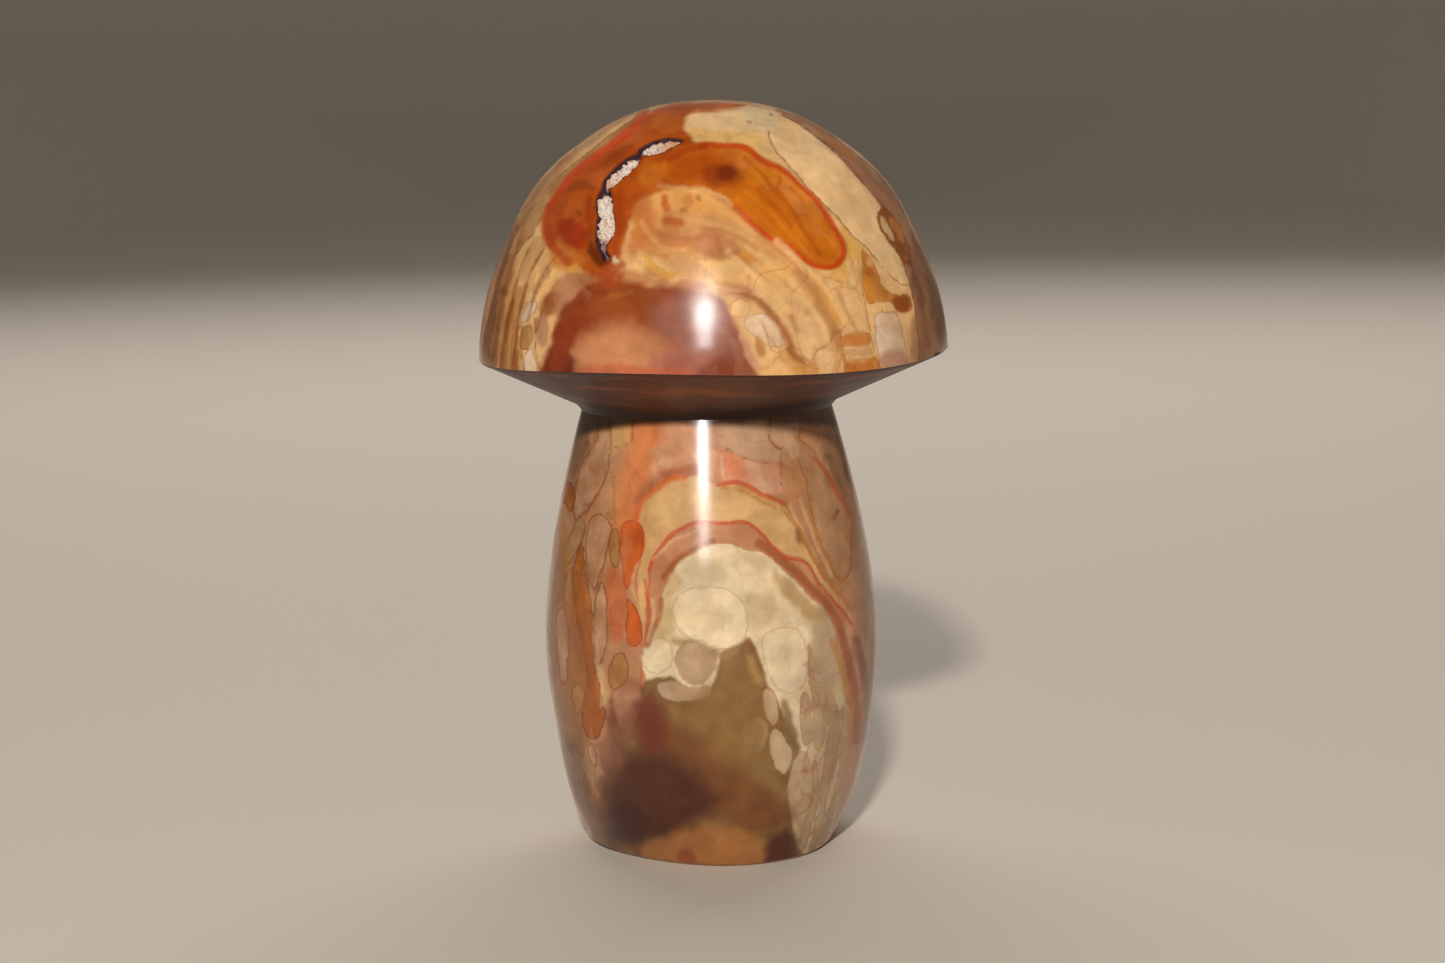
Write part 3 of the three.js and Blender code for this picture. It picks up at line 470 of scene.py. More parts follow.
# Soft washes over the marks: name, colour, blur, strength, outline.
OVER_WASHES = [
    ("lobe brown left", (172, 74, 16), 14, 0.75, [
        (664, 152), (700, 148), (736, 156), (740, 186), (700, 186), (668, 178)]),
    ("dark eye", (132, 50, 14), 12, 0.7, [
        (700, 172), (714, 162), (736, 163), (746, 174), (732, 186), (710, 185)]),
    ("dark eye core", (96, 28, 12), 8, 0.7, [(716, 168), (730, 164), (738, 172), (734, 180), (720, 180)]),
    ("field ochre blotch", (188, 104, 30), 10, 0.75, [
        (640, 166), (660, 160), (670, 176), (654, 194), (640, 190)]),
    ("field ochre top", (180, 96, 26), 9, 0.7, [
        (650, 118), (676, 112), (686, 122), (676, 132), (656, 130)]),
    ("field top orange", (182, 106, 26), 6, 0.7, [(690, 100), (735, 100), (742, 104), (700, 106)]),
    ("field bright left", (190, 112, 44), 9, 0.75, [
        (548, 246), (572, 244), (584, 262), (572, 272), (552, 262)]),
    ("field orange left", (172, 82, 22), 9, 0.6, [
        (548, 206), (572, 190), (592, 200), (586, 216), (560, 214)]),
    ("field deep red", (150, 42, 12), 9, 0.85, [
        (554, 222), (572, 216), (590, 234), (584, 252), (564, 246)]),
    ("field right of pit", (156, 56, 10), 8, 0.8, [
        (612, 186), (624, 200), (624, 230), (616, 262), (610, 256), (616, 226)]),
    ("field dark under pit", (94, 36, 10), 7, 0.9, [
        (588, 238), (598, 246), (606, 264), (598, 270), (586, 256)]),
    ("field dark streak", (132, 58, 18), 6, 0.75, [
        (558, 190), (574, 180), (596, 184), (598, 190), (576, 189), (562, 196)]),
    ("field dark above pit", (146, 62, 16), 8, 0.7, [
        (600, 160), (622, 146), (636, 146), (618, 158), (604, 172)]),
    ("field dark left of pit", (136, 54, 12), 7, 0.7, [(584, 196), (594, 194), (594, 240), (586, 240)]),
    ("fissure fleck", (214, 184, 146), 2, 0.95, [
        (610, 260), (616, 258), (622, 263), (620, 267), (612, 265)]),
    ("field dot", (96, 36, 14), 3, 0.7, [(576, 211), (581, 211), (581, 216), (577, 216)]),
    ("field yellow fleck", (208, 148, 62), 4, 0.9, [(567, 266), (577, 264), (580, 271), (571, 276)]),
    ("swirl soft edge", (190, 112, 54), 14, 0.8, [
        (634, 202), (650, 196), (656, 214), (648, 244), (634, 262), (626, 246), (632, 224)]),
    ("swirl under lobe", (214, 152, 80), 12, 0.8, [
        (664, 190), (700, 190), (730, 204), (742, 220), (716, 216), (670, 206)]),
    ("lobe bright", (206, 120, 22), 9, 0.75, [
        (750, 166), (774, 166), (786, 180), (770, 186), (754, 178)]),
    ("lobe bright 2", (204, 114, 18), 8, 0.6, [
        (800, 198), (816, 212), (832, 238), (826, 236), (808, 212)]),
    ("top open cream", (220, 190, 144), 6, 0.95, [
        (742, 110), (768, 107), (778, 114), (773, 132), (760, 131), (746, 123)]),
    ("top dots", (142, 90, 54), 2, 0.7, [(746, 120), (752, 121), (751, 124), (747, 123)]),
    ("top dot right", (124, 74, 44), 2, 0.7, [(769, 112), (773, 113), (772, 116), (769, 115)]),
    ("side ochre streak", (168, 102, 40), 5, 0.85, [
        (806, 124), (826, 130), (850, 150), (864, 168), (850, 160), (826, 142)]),
    ("side mauve", (160, 106, 80), 8, 0.75, [
        (838, 152), (856, 162), (880, 190), (890, 208), (872, 192), (850, 170)]),
    ("side brown edge", (108, 62, 30), 8, 0.75, [
        (905, 180), (930, 230), (948, 300), (954, 346), (938, 346), (930, 300), (912, 240)]),
    ("side brown line", (98, 50, 26), 3, 0.6, [
        (906, 250), (916, 270), (926, 310), (930, 350), (927, 350), (920, 310), (910, 272)]),
    ("side pink low", (178, 120, 94), 8, 0.75, [(880, 350), (910, 352), (916, 376), (884, 378)]),
    ("blotch dark", (142, 66, 14), 4, 0.9, [(892, 297), (908, 295), (912, 308), (902, 313), (894, 309)]),
    ("triangle cell", (208, 164, 96), 4, 0.8, [(864, 256), (870, 258), (874, 268), (866, 266)]),
    ("rust mark 1", (180, 82, 34), 4, 0.8, [(663, 192), (669, 196), (671, 212), (667, 217), (662, 206)]),
    ("rust mark 2", (176, 80, 36), 5, 0.8, [
        (660, 221), (670, 217), (682, 218), (686, 224), (676, 229), (664, 228)]),
    ("rust mark 3", (150, 74, 36), 3, 0.75, [(695, 194), (702, 195), (701, 201), (696, 200)]),
    ("rust mark 4", (176, 92, 46), 4, 0.65, [(678, 208), (686, 206), (689, 212), (680, 214)]),
    ("rust mark 5", (190, 108, 58), 6, 0.6, [(680, 194), (690, 192), (694, 204), (686, 208)]),
    ("swirl crescent", (208, 150, 68), 3, 0.9, [
        (643, 251), (650, 261), (658, 268), (668, 271), (680, 272), (674, 279), (660, 279), (649, 272),
        (643, 262)]),
    ("swirl lobe light", (206, 152, 98), 4, 0.75, [
        (670, 256), (684, 254), (694, 262), (690, 272), (676, 268)]),
    ("bright wedge", (228, 180, 116), 5, 0.85, [
        (697, 259), (722, 261), (742, 266), (732, 278), (718, 285), (708, 272)]),
    ("ochre patch", (216, 140, 56), 6, 0.8, [(742, 252), (752, 248), (758, 256), (752, 265), (743, 263)]),
    ("ochre patch 2", (222, 160, 84), 7, 0.65, [
        (756, 262), (776, 262), (794, 272), (784, 282), (762, 276)]),
    ("pale diagonal", (222, 174, 110), 7, 0.6, [
        (752, 276), (776, 282), (800, 292), (790, 302), (772, 296), (756, 286)]),
    ("diagonal brown", (158, 96, 54), 5, 0.9, [
        (736, 290), (750, 292), (764, 300), (778, 314), (788, 332), (794, 350), (808, 362), (802, 366),
        (788, 354), (780, 334), (770, 318), (756, 304), (744, 297)]),
    ("diagonal tan", (184, 130, 80), 7, 0.75, [
        (788, 250), (806, 272), (822, 300), (838, 326), (844, 350), (836, 350), (826, 326), (810, 300),
        (794, 276)]),
    ("diagonal ochre", (206, 142, 68), 6, 0.75, [
        (812, 272), (828, 284), (840, 310), (850, 330), (838, 326), (822, 304)]),
    ("pink lobe", (192, 140, 112), 5, 0.85, [
        (738, 332), (746, 338), (752, 350), (764, 366), (752, 370), (742, 352)]),
    ("ochre by pink", (176, 108, 56), 4, 0.75, [
        (756, 334), (766, 344), (768, 358), (760, 356), (755, 344)]),
    ("mauve cream bar", (190, 144, 100), 4, 0.85, [(842, 349), (872, 347), (874, 356), (844, 357)]),
    ("dome floor olive", (134, 98, 50), 24, 0.9, [
        (676, 712), (704, 690), (744, 662), (764, 700), (768, 740), (762, 772), (730, 776), (696, 752)]),
    ("dome floor brown", (112, 66, 30), 26, 0.85, [
        (660, 716), (690, 730), (730, 764), (770, 780), (796, 806), (790, 830), (740, 830), (680, 800),
        (650, 760)]),
    ("dome floor olive right", (136, 104, 60), 12, 0.8, [
        (752, 756), (772, 768), (784, 784), (788, 800), (770, 792), (752, 774)]),
    ("dome floor gap", (130, 98, 54), 5, 0.85, [
        (780, 698), (787, 700), (794, 724), (802, 748), (796, 750), (786, 730)]),
    ("tan streak", (170, 128, 72), 6, 0.8, [(744, 652), (752, 656), (762, 676), (764, 690), (752, 678)]),
    ("crown right salmon", (206, 124, 88), 10, 0.85, [
        (722, 452), (736, 454), (748, 468), (754, 486), (744, 482), (726, 480)]),
    ("floor left edge", (128, 78, 54), 16, 0.85, [
        (604, 744), (622, 722), (634, 700), (644, 700), (636, 730), (624, 756), (610, 780), (598, 790)]),
    ("patch left shoulder", (132, 54, 24), 6, 0.85, [
        (548, 372), (552, 340), (557, 318), (568, 300), (584, 290), (586, 306), (574, 326), (566, 372)]),
    ("patch soft top", (160, 80, 36), 9, 0.6, [
        (590, 273), (620, 268), (650, 270), (652, 286), (620, 290), (592, 288)]),
    ("upper ochre bar", (188, 112, 34), 4, 0.7, [(843, 334), (870, 334), (870, 346), (843, 346)]),
    ("lower ochre bar", (176, 98, 24), 4, 0.7, [(845, 361), (876, 361), (878, 374), (846, 374)]),
    ("stem left strand", (150, 82, 26), 5, 0.75, [
        (573, 560), (584, 585), (590, 630), (596, 680), (598, 714), (588, 716), (578, 680), (573, 640),
        (569, 600)]),
    ("crown right grey", (192, 154, 120), 6, 0.8, [
        (768, 426), (790, 428), (800, 446), (798, 462), (784, 452), (770, 440)]),
    ("stem right lilac", (174, 130, 92), 8, 0.6, [
        (812, 490), (836, 488), (848, 520), (850, 556), (836, 560), (820, 530)]),
    ("side low mauve", (146, 98, 68), 8, 0.7, [
        (908, 320), (930, 310), (936, 350), (926, 366), (912, 366)]),
    ("stem maroon", (108, 44, 26), 16, 0.9, [
        (634, 704), (650, 692), (664, 712), (668, 746), (650, 760), (636, 732)]),
    ("stem dark", (78, 38, 20), 26, 1, [
        (606, 780), (630, 748), (672, 756), (704, 778), (724, 806), (690, 828), (646, 846), (610, 846),
        (600, 812)]),
    ("stem dark core", (62, 22, 12), 18, 0.9, [
        (610, 800), (636, 800), (650, 824), (640, 842), (612, 840)]),
    ("stem foot tan", (160, 104, 54), 13, 1, [
        (628, 860), (650, 840), (690, 829), (735, 829), (764, 840), (770, 890), (620, 890)]),
    ("stem foot dark red", (74, 30, 18), 12, 0.95, [
        (766, 840), (788, 826), (802, 844), (800, 890), (760, 890)]),
    ("foot red spot 1", (120, 54, 28), 6, 0.75, [(632, 848), (641, 848), (641, 857), (632, 857)]),
    ("foot red spot 2", (142, 66, 42), 7, 0.8, [(679, 848), (695, 848), (695, 864), (679, 864)]),
    ("flame ground", (152, 124, 90), 14, 0.35, [
        (812, 650), (836, 640), (850, 690), (858, 740), (848, 800), (826, 850), (806, 872), (796, 850),
        (806, 812), (814, 790), (808, 750), (796, 726), (808, 700)]),
    ("dome right shade", (170, 142, 110), 10, 0.85, [
        (814, 600), (830, 612), (842, 660), (832, 700), (816, 690), (810, 640)]),
    ("dome edge tan", (176, 140, 90), 8, 0.8, [
        (772, 566), (790, 580), (812, 602), (828, 622), (812, 622), (794, 606), (776, 590)]),
    ("dome grey", (196, 172, 136), 9, 0.7, [(680, 566), (700, 556), (728, 566), (724, 584), (690, 588)]),
    ("dome grey 2", (186, 162, 126), 8, 0.7, [
        (740, 596), (770, 590), (780, 612), (764, 630), (752, 622)]),
    ("dome tan", (182, 150, 98), 8, 0.75, [(654, 622), (672, 600), (676, 628), (668, 640), (656, 640)]),
    ("dome tan middle", (184, 152, 108), 5, 0.7, [(668, 572), (682, 578), (676, 592), (664, 598)]),
    ("gap between blobs", (152, 120, 76), 5, 0.8, [
        (668, 640), (686, 636), (708, 646), (728, 652), (742, 644), (736, 656), (720, 660), (706, 648),
        (690, 642), (678, 648)]),
]

# Lines drawn over the marks and washes, in families of one colour:
# name, colour, blur, strength, and each line's width and points.
VEINS = [
    ("left_dark", (132, 68, 22), 3, 0.7, [
        (2.5, [(520, 240), (505, 285), (497, 325), (492, 370)]),
        (2, [(529, 248), (515, 288), (506, 330), (502, 372)]),
        (2.2, [(541, 252), (526, 284), (517, 322), (513, 374)]),
        (2, [(556, 256), (543, 274), (533, 298), (528, 322)]),
        (2, [(536, 318), (534, 340), (541, 372)]),
        (2, [(520, 322), (524, 330), (521, 352), (524, 376)]),
        (2, [(548, 300), (540, 318), (536, 332)])]),
    ("left_light", (208, 160, 98), 3, 0.65, [
        (3, [(525, 246), (510, 290), (502, 330), (498, 370)]),
        (3, [(535, 250), (521, 288), (512, 330), (508, 372)]),
        (3, [(549, 252), (534, 276), (524, 304), (519, 324)]),
        (3, [(560, 268), (548, 286), (540, 304)]),
        (2.5, [(530, 322), (531, 346)])]),
    ("rim_red", (192, 62, 14), 4, 0.8, [
        (6, [
            (700, 145), (722, 145), (742, 147), (752, 152), (765, 161), (783, 170), (800, 185),
            (817, 200), (832, 223), (843, 243), (845, 255), (838, 265), (827, 268), (812, 265),
            (795, 254), (782, 244), (770, 238), (757, 230), (746, 218), (736, 207)]),
        (8, [(646, 114), (624, 136), (602, 151), (580, 168), (562, 189), (549, 207)])]),
    ("soft_red", (164, 58, 16), 6, 0.7, [
        (8, [(549, 207), (545, 226), (552, 246), (568, 262)]),
        (7, [(668, 158), (684, 150), (704, 146)]),
        (8, [(622, 264), (612, 272), (600, 276)])]),
    ("stem_red", (182, 78, 46), 2.5, 0.75, [
        (4, [
            (650, 572), (655, 557), (666, 541), (682, 527), (702, 521), (724, 523), (745, 522),
            (758, 530), (770, 545), (785, 556), (802, 560)]),
        (3, [(645, 580), (648, 600), (650, 620), (646, 640)]),
        (3.5, [(802, 560), (812, 568), (820, 588), (832, 598), (842, 612), (852, 624)]),
        (3.5, [(814, 458), (822, 468), (832, 484), (842, 500), (849, 516)]),
        (5, [(718, 484), (734, 482), (748, 487), (762, 495), (776, 500), (784, 504)])]),
    ("stem_orange", (198, 94, 40), 4, 0.7, [
        (6, [(684, 477), (668, 479), (655, 490), (643, 500), (638, 512), (635, 524)]),
        (6, [(638, 548), (634, 562), (630, 582)])]),
    ("brown_band", (150, 78, 40), 5, 0.8, [
        (9, [
            (758, 543), (778, 557), (795, 571), (812, 590), (828, 604), (838, 624), (846, 650),
            (853, 680), (857, 710), (856, 740)]),
        (6, [(664, 576), (672, 566), (684, 556), (696, 549), (714, 541)]),
        (5, [(661, 600), (660, 615), (655, 630), (647, 645)])]),
    ("brown", (132, 74, 38), 2, 0.55, [
        (1.6, [
            (863, 248), (862, 268), (861, 285), (864, 300), (868, 318), (872, 338), (876, 355),
            (881, 370)]),
        (1.4, [(606, 430), (597, 446), (588, 460), (581, 474), (577, 484)]),
        (1.4, [(608, 428), (609, 445), (608, 465), (603, 484), (594, 500), (586, 512)]),
        (1.3, [(612, 448), (625, 446), (636, 437), (648, 425)]),
        (1.8, [(585, 505), (600, 510), (613, 518), (616, 526)]),
        (1.6, [(583, 541), (575, 560), (565, 578), (558, 598), (556, 606)]),
        (1.3, [(586, 512), (585, 530), (580, 546)]),
        (1.6, [(613, 530), (608, 550), (602, 570), (600, 590)]),
        (1.5, [(581, 548), (584, 575), (590, 602), (594, 630)]),
        (1.5, [(573, 570), (574, 600), (580, 632), (586, 660), (588, 686)]),
        (1.5, [(563, 600), (566, 640), (568, 680)]),
        (1.3, [(725, 447), (742, 457), (760, 462), (782, 464), (792, 470), (795, 480)]),
        (1.3, [(782, 448), (781, 464), (782, 486)]),
        (1.4, [(780, 338), (790, 352), (804, 364), (820, 370)]),
        (1.3, [(840, 330), (843, 350), (845, 376)]),
        (1.5, [(594, 766), (596, 790), (594, 815), (592, 836)]),
        (1.4, [(588, 740), (596, 752), (597, 768)]),
        (1.5, [(862, 271), (868, 273), (876, 278)]),
        (1.6, [(896, 300), (897, 310)]),
        (1.4, [(520, 292), (514, 318), (511, 345), (510, 372)]),
        (1.3, [(546, 244), (534, 262), (522, 286), (516, 308)]),
        (1.3, [(556, 262), (546, 276), (536, 294)]),
        (1.4, [(768, 132), (772, 144), (784, 160), (800, 178), (820, 200), (836, 216), (856, 240)])]),
    ("diagonal_dark", (184, 126, 74), 5, 0.7, [
        (7, [(760, 238), (782, 256), (804, 276), (820, 300), (834, 326), (840, 350)]),
        (5, [(742, 258), (766, 282), (786, 302), (797, 330)]),
        (4, [(716, 282), (736, 286), (750, 292)]),
        (4, [(838, 290), (846, 310), (856, 332)])]),
    ("diagonal_light", (232, 186, 124), 5, 0.65, [
        (6, [(748, 247), (770, 264), (795, 286), (810, 304), (824, 328)]),
        (6, [(776, 240), (798, 262), (818, 278), (834, 300), (845, 322)]),
        (6, [(728, 252), (752, 274), (776, 290), (790, 312)]),
        (5, [(848, 262), (852, 284)]),
        (5, [(880, 262), (888, 276)])]),
    ("rust", (170, 76, 10), 3.5, 0.6, [
        (4, [(745, 158), (760, 172), (776, 190), (792, 210), (806, 232), (822, 256)]),
        (3, [(790, 188), (812, 210), (828, 235)]),
        (3, [(778, 166), (780, 182), (776, 190)]),
        (3, [(758, 190), (774, 206), (792, 228)])]),
    ("amber", (212, 128, 30), 4, 0.5, [
        (5, [(775, 170), (798, 192), (818, 218), (834, 246)]),
        (4, [(746, 192), (768, 210), (788, 232), (806, 252)])]),
    ("arc_brown", (170, 104, 62), 7, 0.55, [
        (4, [(632, 232), (638, 244), (650, 253), (668, 256)]),
        (5, [(658, 232), (672, 238), (690, 240), (706, 236)]),
        (5, [(692, 246), (706, 254), (722, 257), (738, 252)]),
        (4, [(700, 228), (722, 230), (742, 238), (758, 250)]),
        (4, [(714, 196), (732, 206), (748, 220)]),
        (3, [(640, 262), (650, 274), (668, 281)])]),
    ("arc_pale", (224, 172, 108), 7, 0.5, [
        (4, [(642, 222), (650, 238), (664, 248), (684, 250)]),
        (4, [(690, 220), (712, 222), (736, 230), (752, 240)]),
        (4, [(720, 210), (738, 218), (756, 236), (772, 250), (792, 266)]),
        (5, [(760, 252), (780, 268), (800, 286), (812, 300)]),
        (4, [(660, 186), (684, 188), (706, 196), (722, 206)])]),
    ("pale_line", (206, 168, 122), 3, 0.6, [
        (3, [(654, 560), (664, 548), (676, 538), (694, 532)]),
        (3, [(652, 600), (654, 620), (648, 640)]),
        (3, [(636, 566), (632, 584), (636, 600), (642, 620)]),
        (4, [(800, 500), (808, 524), (820, 552), (832, 576)]),
        (3, [(596, 660), (602, 680), (602, 706)]),
        (3, [(790, 505), (800, 530), (816, 560)])]),
    ("stem_ochre", (172, 116, 50), 3, 0.7, [
        (4, [(785, 512), (800, 530), (812, 556), (826, 574), (840, 592)]),
        (3, [(610, 470), (614, 490), (615, 515)]),
        (3, [
            (793, 468), (798, 478), (806, 486), (808, 497), (812, 520), (818, 545), (830, 566),
            (842, 584), (852, 584)]),
        (6, [(832, 640), (840, 662), (845, 685), (850, 710), (851, 735)]),
        (5, [(560, 510), (564, 540), (566, 570)]),
        (4, [(722, 488), (742, 490), (760, 500), (774, 508)])]),
    ("stem_dark_red", (112, 52, 26), 6, 0.7, [
        (8, [(856, 640), (864, 670), (868, 705), (866, 740)]),
        (4, [(796, 530), (800, 542)]),
        (6, [(846, 450), (856, 490), (864, 530)]),
        (3, [(834, 518), (838, 512)])]),
]

POLISHED_ROUGHNESS = 0.17
# The painted shadow of the cap, a dark band round the top of the stem: the height of its edge at the front,
# how much lower it lies at the sides and the back, and how softly it starts
PAINTED_SHADOW_HEIGHT = 51.8
PAINTED_SHADOW_DROP = 2.8
PAINTED_SHADOW_BLUR = 0.5

FLAKE_SIZE = 3.4

# How the drawn markings end towards the sides, in shares of facing the camera and in pixels
SIDE_FADE_START = 0.12
SIDE_FADE_WIDTH = 0.08
SIDE_FADE_PIXELS = 60
# How they come back on the far side, and how far they are pushed about there, in pixels
BACK_FADE_START = 0.2
BACK_WARP_RISE = 0.5
BACK_WARP = 45
BACK_RIPPLE = 12
CAP_LOWEST_PIXEL = 372
STEM_HIGHEST_PIXEL = 440

# Where the small cells show more or less: name, strength, outline.
FLAKED_AREAS = [
    ("cap", 0.25, [(440, 60), (1000, 60), (1000, 390), (440, 390)]),
    ("swirl", 0.3, [(632, 206), (650, 192), (720, 196), (760, 232), (800, 262), (740, 290), (640, 284)]),
    ("cap lower right", 0.7, [(720, 262), (800, 266), (862, 284), (868, 390), (770, 390), (740, 330)]),
    ("cap left", 0.15, [(500, 240), (550, 240), (560, 290), (536, 390), (470, 390), (480, 300)]),
    ("orange field", 0.08, [
        (560, 170), (640, 110), (740, 98), (700, 150), (850, 250), (820, 270), (730, 200), (620, 270),
        (545, 240)]),
    ("cream band", 0.04, [(770, 112), (860, 180), (910, 285), (860, 245), (800, 180)]),
    ("burgundy", 0.03, [(552, 344), (580, 292), (700, 292), (744, 380), (545, 380)]),
    ("stem", 0.3, [(520, 405), (900, 405), (900, 900), (520, 900)]),
    ("crown and ring", 0.12, [
        (636, 526), (650, 490), (700, 474), (784, 500), (860, 640), (850, 800), (640, 800)]),
    ("stem dark", 0.04, [
        (620, 720), (700, 690), (760, 700), (790, 800), (780, 880), (620, 880), (606, 800)]),
    ("flame streaks", 0.7, [(800, 640), (840, 650), (850, 740), (820, 860), (792, 840), (796, 740)]),
]

# How outlines and lines are cut round, and how far from them distances are measured, in pixels
CORNER_CUT = 0.22
CORNER_ROUNDS = 2
SHORTEST_SIDE = 1e-6
OUTLINE_REACH = 40.0
LINE_REACH = 12.0

# The tones of the fine patterns, and their sizes
GROUND_CELL_SIZE = 6.5
GROUND_CELL_TONE = (222, 184, 138)
GROUND_CRACK_TONE = (128, 62, 30)
FLAKE_LIGHT_TONE = (236, 202, 156)
FLAKE_DARK_TONE = (170, 100, 58)
FLAKE_RIM_TONE = (168, 92, 46)
FLAKE_CRACK_TONE = (136, 66, 30)
THREAD_TONE = (140, 78, 42)
SPECK_SPACING = 2.4
SPECK_TONE = (110, 46, 20)
# Painted shadow of the cap on the top of the stem
PAINTED_SHADOW_TONE = (50, 22, 13)
# Painted shade on the underside towards the neck, in the crease under the cap
NECK_SHADE_TONE = (26, 10, 7)
# Dark mineral stain along the fissure's edge, partly painted shade at the pits' edges
FISSURE_STAIN_AND_SHADE = (84, 34, 26)
# The pits' walls: a dark mineral lining with painted shade in the recess
PIT_LINING_AND_SHADE_TONE = (62, 34, 44)
PIT_DULLNESS = 0.5
UNDERSIDE_DULLNESS = 0.3
# The underside's burgundy streaks, painted darker as shade under the cap
UNDERSIDE_STREAK_AND_SHADE_STOPS = [
    (0.3, (56, 22, 16)),
    (0.42, (84, 36, 22)),
    (0.5, (60, 24, 18)),
    (0.58, (100, 48, 28)),
    (0.7, (122, 66, 38)),
]
CRYSTAL_STOPS = [
    (0.34, (206, 172, 148)),
    (0.48, (228, 216, 202)),
    (0.66, (206, 190, 190)),
]
PEACH_CRYSTAL = (208, 146, 102)
CRYSTAL_SPECKLE = (134, 96, 88)
# Painted shade in the hollows between the crystals and deep in the pits
CRYSTAL_HOLLOW_SHADE = (58, 30, 40)

# The ground pattern's colours, across its noise
GROUND_STOPS = [
    (0.28, (110, 48, 28)),
    (0.36, (176, 82, 34)),
    (0.40, (206, 124, 52)),
    (0.44, (222, 178, 124)),
    (0.50, (214, 164, 118)),
    (0.54, (196, 132, 100)),
    (0.58, (222, 190, 148)),
    (0.64, (206, 118, 70)),
    (0.70, (164, 104, 84)),
]


def along(stations, share, end_slope_is_level=False):
    """A smooth value along equally spaced stations. The share runs from 0 to 1."""
    stations = np.asarray(stations, float)
    last = len(stations) - 1
    beyond = stations[last - 1] if end_slope_is_level else 2 * stations[last] - stations[last - 1]
    padded = np.concatenate([[2 * stations[0] - stations[1]], stations, [beyond]])
    place = np.asarray(share, float) * last
    i = np.clip(np.floor(place).astype(int), 0, last - 1)
    u = place - i
    before, start, end, after = (padded[i + k] for k in range(4))
    cubic = 3 * start - before - 3 * end + after
    square = 2 * before - 5 * start + 4 * end - after
    return 0.5 * (2 * start + (end - before) * u + square * u * u + cubic * u**3)


def waves(table, angle):
    return sum(size * np.cos(lobes * (angle - math.radians(crest))) for lobes, size, crest in table)


def stem_points(height, angle, inset=0.0):
    low = np.maximum(0, 1 - height / FOOT_WAVE_HEIGHT) ** 2
    radius = along(STEM_RADII, height / NECK_HEIGHT) * (1 + low * waves(FOOT_WAVES, angle)) - inset
    height = height + 0 * angle
    return np.stack([STEM_CENTRE_X + radius * np.cos(angle), radius * np.sin(angle), height], -1)


def dome_points(elevation, angle, lift=0.0):
    reach = along(DOME_REACH, elevation / (math.pi / 2), True) + lift
    radius = reach * np.cos(elevation)
    height = DOME_CENTRE_HEIGHT + reach * np.sin(elevation) + 0 * angle
    return np.stack([radius * np.cos(angle), radius * np.sin(angle), height], -1)


def rim_elevation(angle):
    return (RIM_HEIGHT + waves(RIM_WAVES, angle) - DOME_CENTRE_HEIGHT) / DOME_REACH[0]


def column_angles():
    """Angles round the stone, closest together at the front, where the finest markings are."""
    turn = np.linspace(-math.pi, math.pi, 4001)
    front = np.abs(turn) < math.pi / 2
    density = np.where(front, np.maximum(np.cos(turn), 0.4), 0.4)
    weight = np.where(front, FRONT_COLUMNS / density[front].sum(), BACK_COLUMNS / density[~front].sum())
    travelled = np.cumsum(density * weight)
    count = FRONT_COLUMNS + BACK_COLUMNS
    wanted = (np.arange(count) + 0.5) / count * travelled[-1]
    return np.interp(wanted, travelled, turn) - math.pi / 2


def new_object(name, vertices, faces):
    """A mesh object whose vertices are given in millimetres."""
    mesh = bpy.data.meshes.new(name)
    mesh.from_pydata((np.asarray(vertices) * MM).tolist(), [], faces)
    mesh.validate()
    made = bpy.data.objects.new(name, mesh)
    bpy.context.scene.collection.objects.link(made)
    return made


def ring_mesh(name, first_point, rings, last_point):
    """A closed body from a stack of rings with equal numbers of points, and a point at each end."""
    rings = np.asarray(rings)
    ring_count, count = rings.shape[:2]
    points = np.vstack([[first_point], rings.reshape(-1, 3), [last_point]])
    last = len(points) - 1
    at = lambda ring, k: 1 + ring * count + k % count
    faces = []
    for k in range(count):
        faces.append((0, at(0, k + 1), at(0, k)))
        faces.append((last, at(ring_count - 1, k), at(ring_count - 1, k + 1)))
        for ring in range(ring_count - 1):
            faces.append((at(ring, k), at(ring, k + 1), at(ring + 1, k + 1), at(ring + 1, k)))
    return new_object(name, points, faces)


def stone_rings():
    angle = column_angles()
    rings = [stem_points(0.0, angle, FOOT_BEVEL)]
    for height in np.linspace(FOOT_BEVEL, NECK_HEIGHT - NECK_FILLET / 2, STEM_ROWS):
        rings.append(stem_points(height, angle))
    neck = stem_points(NECK_HEIGHT, angle)
    edge = dome_points(rim_elevation(angle), angle, -RIM_BEVEL)
    run = np.linalg.norm((edge - neck)[:, :2], axis=1)[:, None]
    for share in np.linspace(0, 1, UNDERSIDE_ROWS):
        start = NECK_FILLET / run
        rings.append(neck + (edge - neck) * (start + (1 - start) * share))
    start = rim_elevation(angle) + RIM_BEVEL / DOME_REACH[0]
    for share in np.linspace(0, 1, DOME_ROWS, endpoint=False):
        rings.append(dome_points(start + (math.pi / 2 - start) * share, angle))
    return rings


def fissure_stations(steps):
    """The fissure's middle on the dome, its ways sideways and outwards, and its half width, step by step."""
    table = np.array(FISSURE, float)
    share = np.linspace(0, 1, steps)
    azimuth, elevation, half_width = (along(table[:, i], share) for i in range(3))
    middle = dome_points(np.radians(elevation), np.radians(azimuth - 90))
    out = middle - np.array([0, 0, DOME_CENTRE_HEIGHT])
    out /= np.linalg.norm(out, axis=1)[:, None]
    side = np.cross(np.gradient(middle, axis=0), out)
    side /= np.linalg.norm(side, axis=1)[:, None]
    return middle, side, out, half_width


def soft_noise(points, size, seed):
    """A smooth wandering value between about -1 and 1, with features of the given size."""
    random = np.random.default_rng(seed)
    total = 0
    for _ in range(6):
        way = random.normal(size=3)
        way /= np.linalg.norm(way)
        stretch = random.uniform(0.7, 1.5)
        phase = random.uniform(0, 2 * math.pi)
        total = total + np.sin(points @ way * (2 * math.pi * stretch / size) + phase)
    return total / 2.5


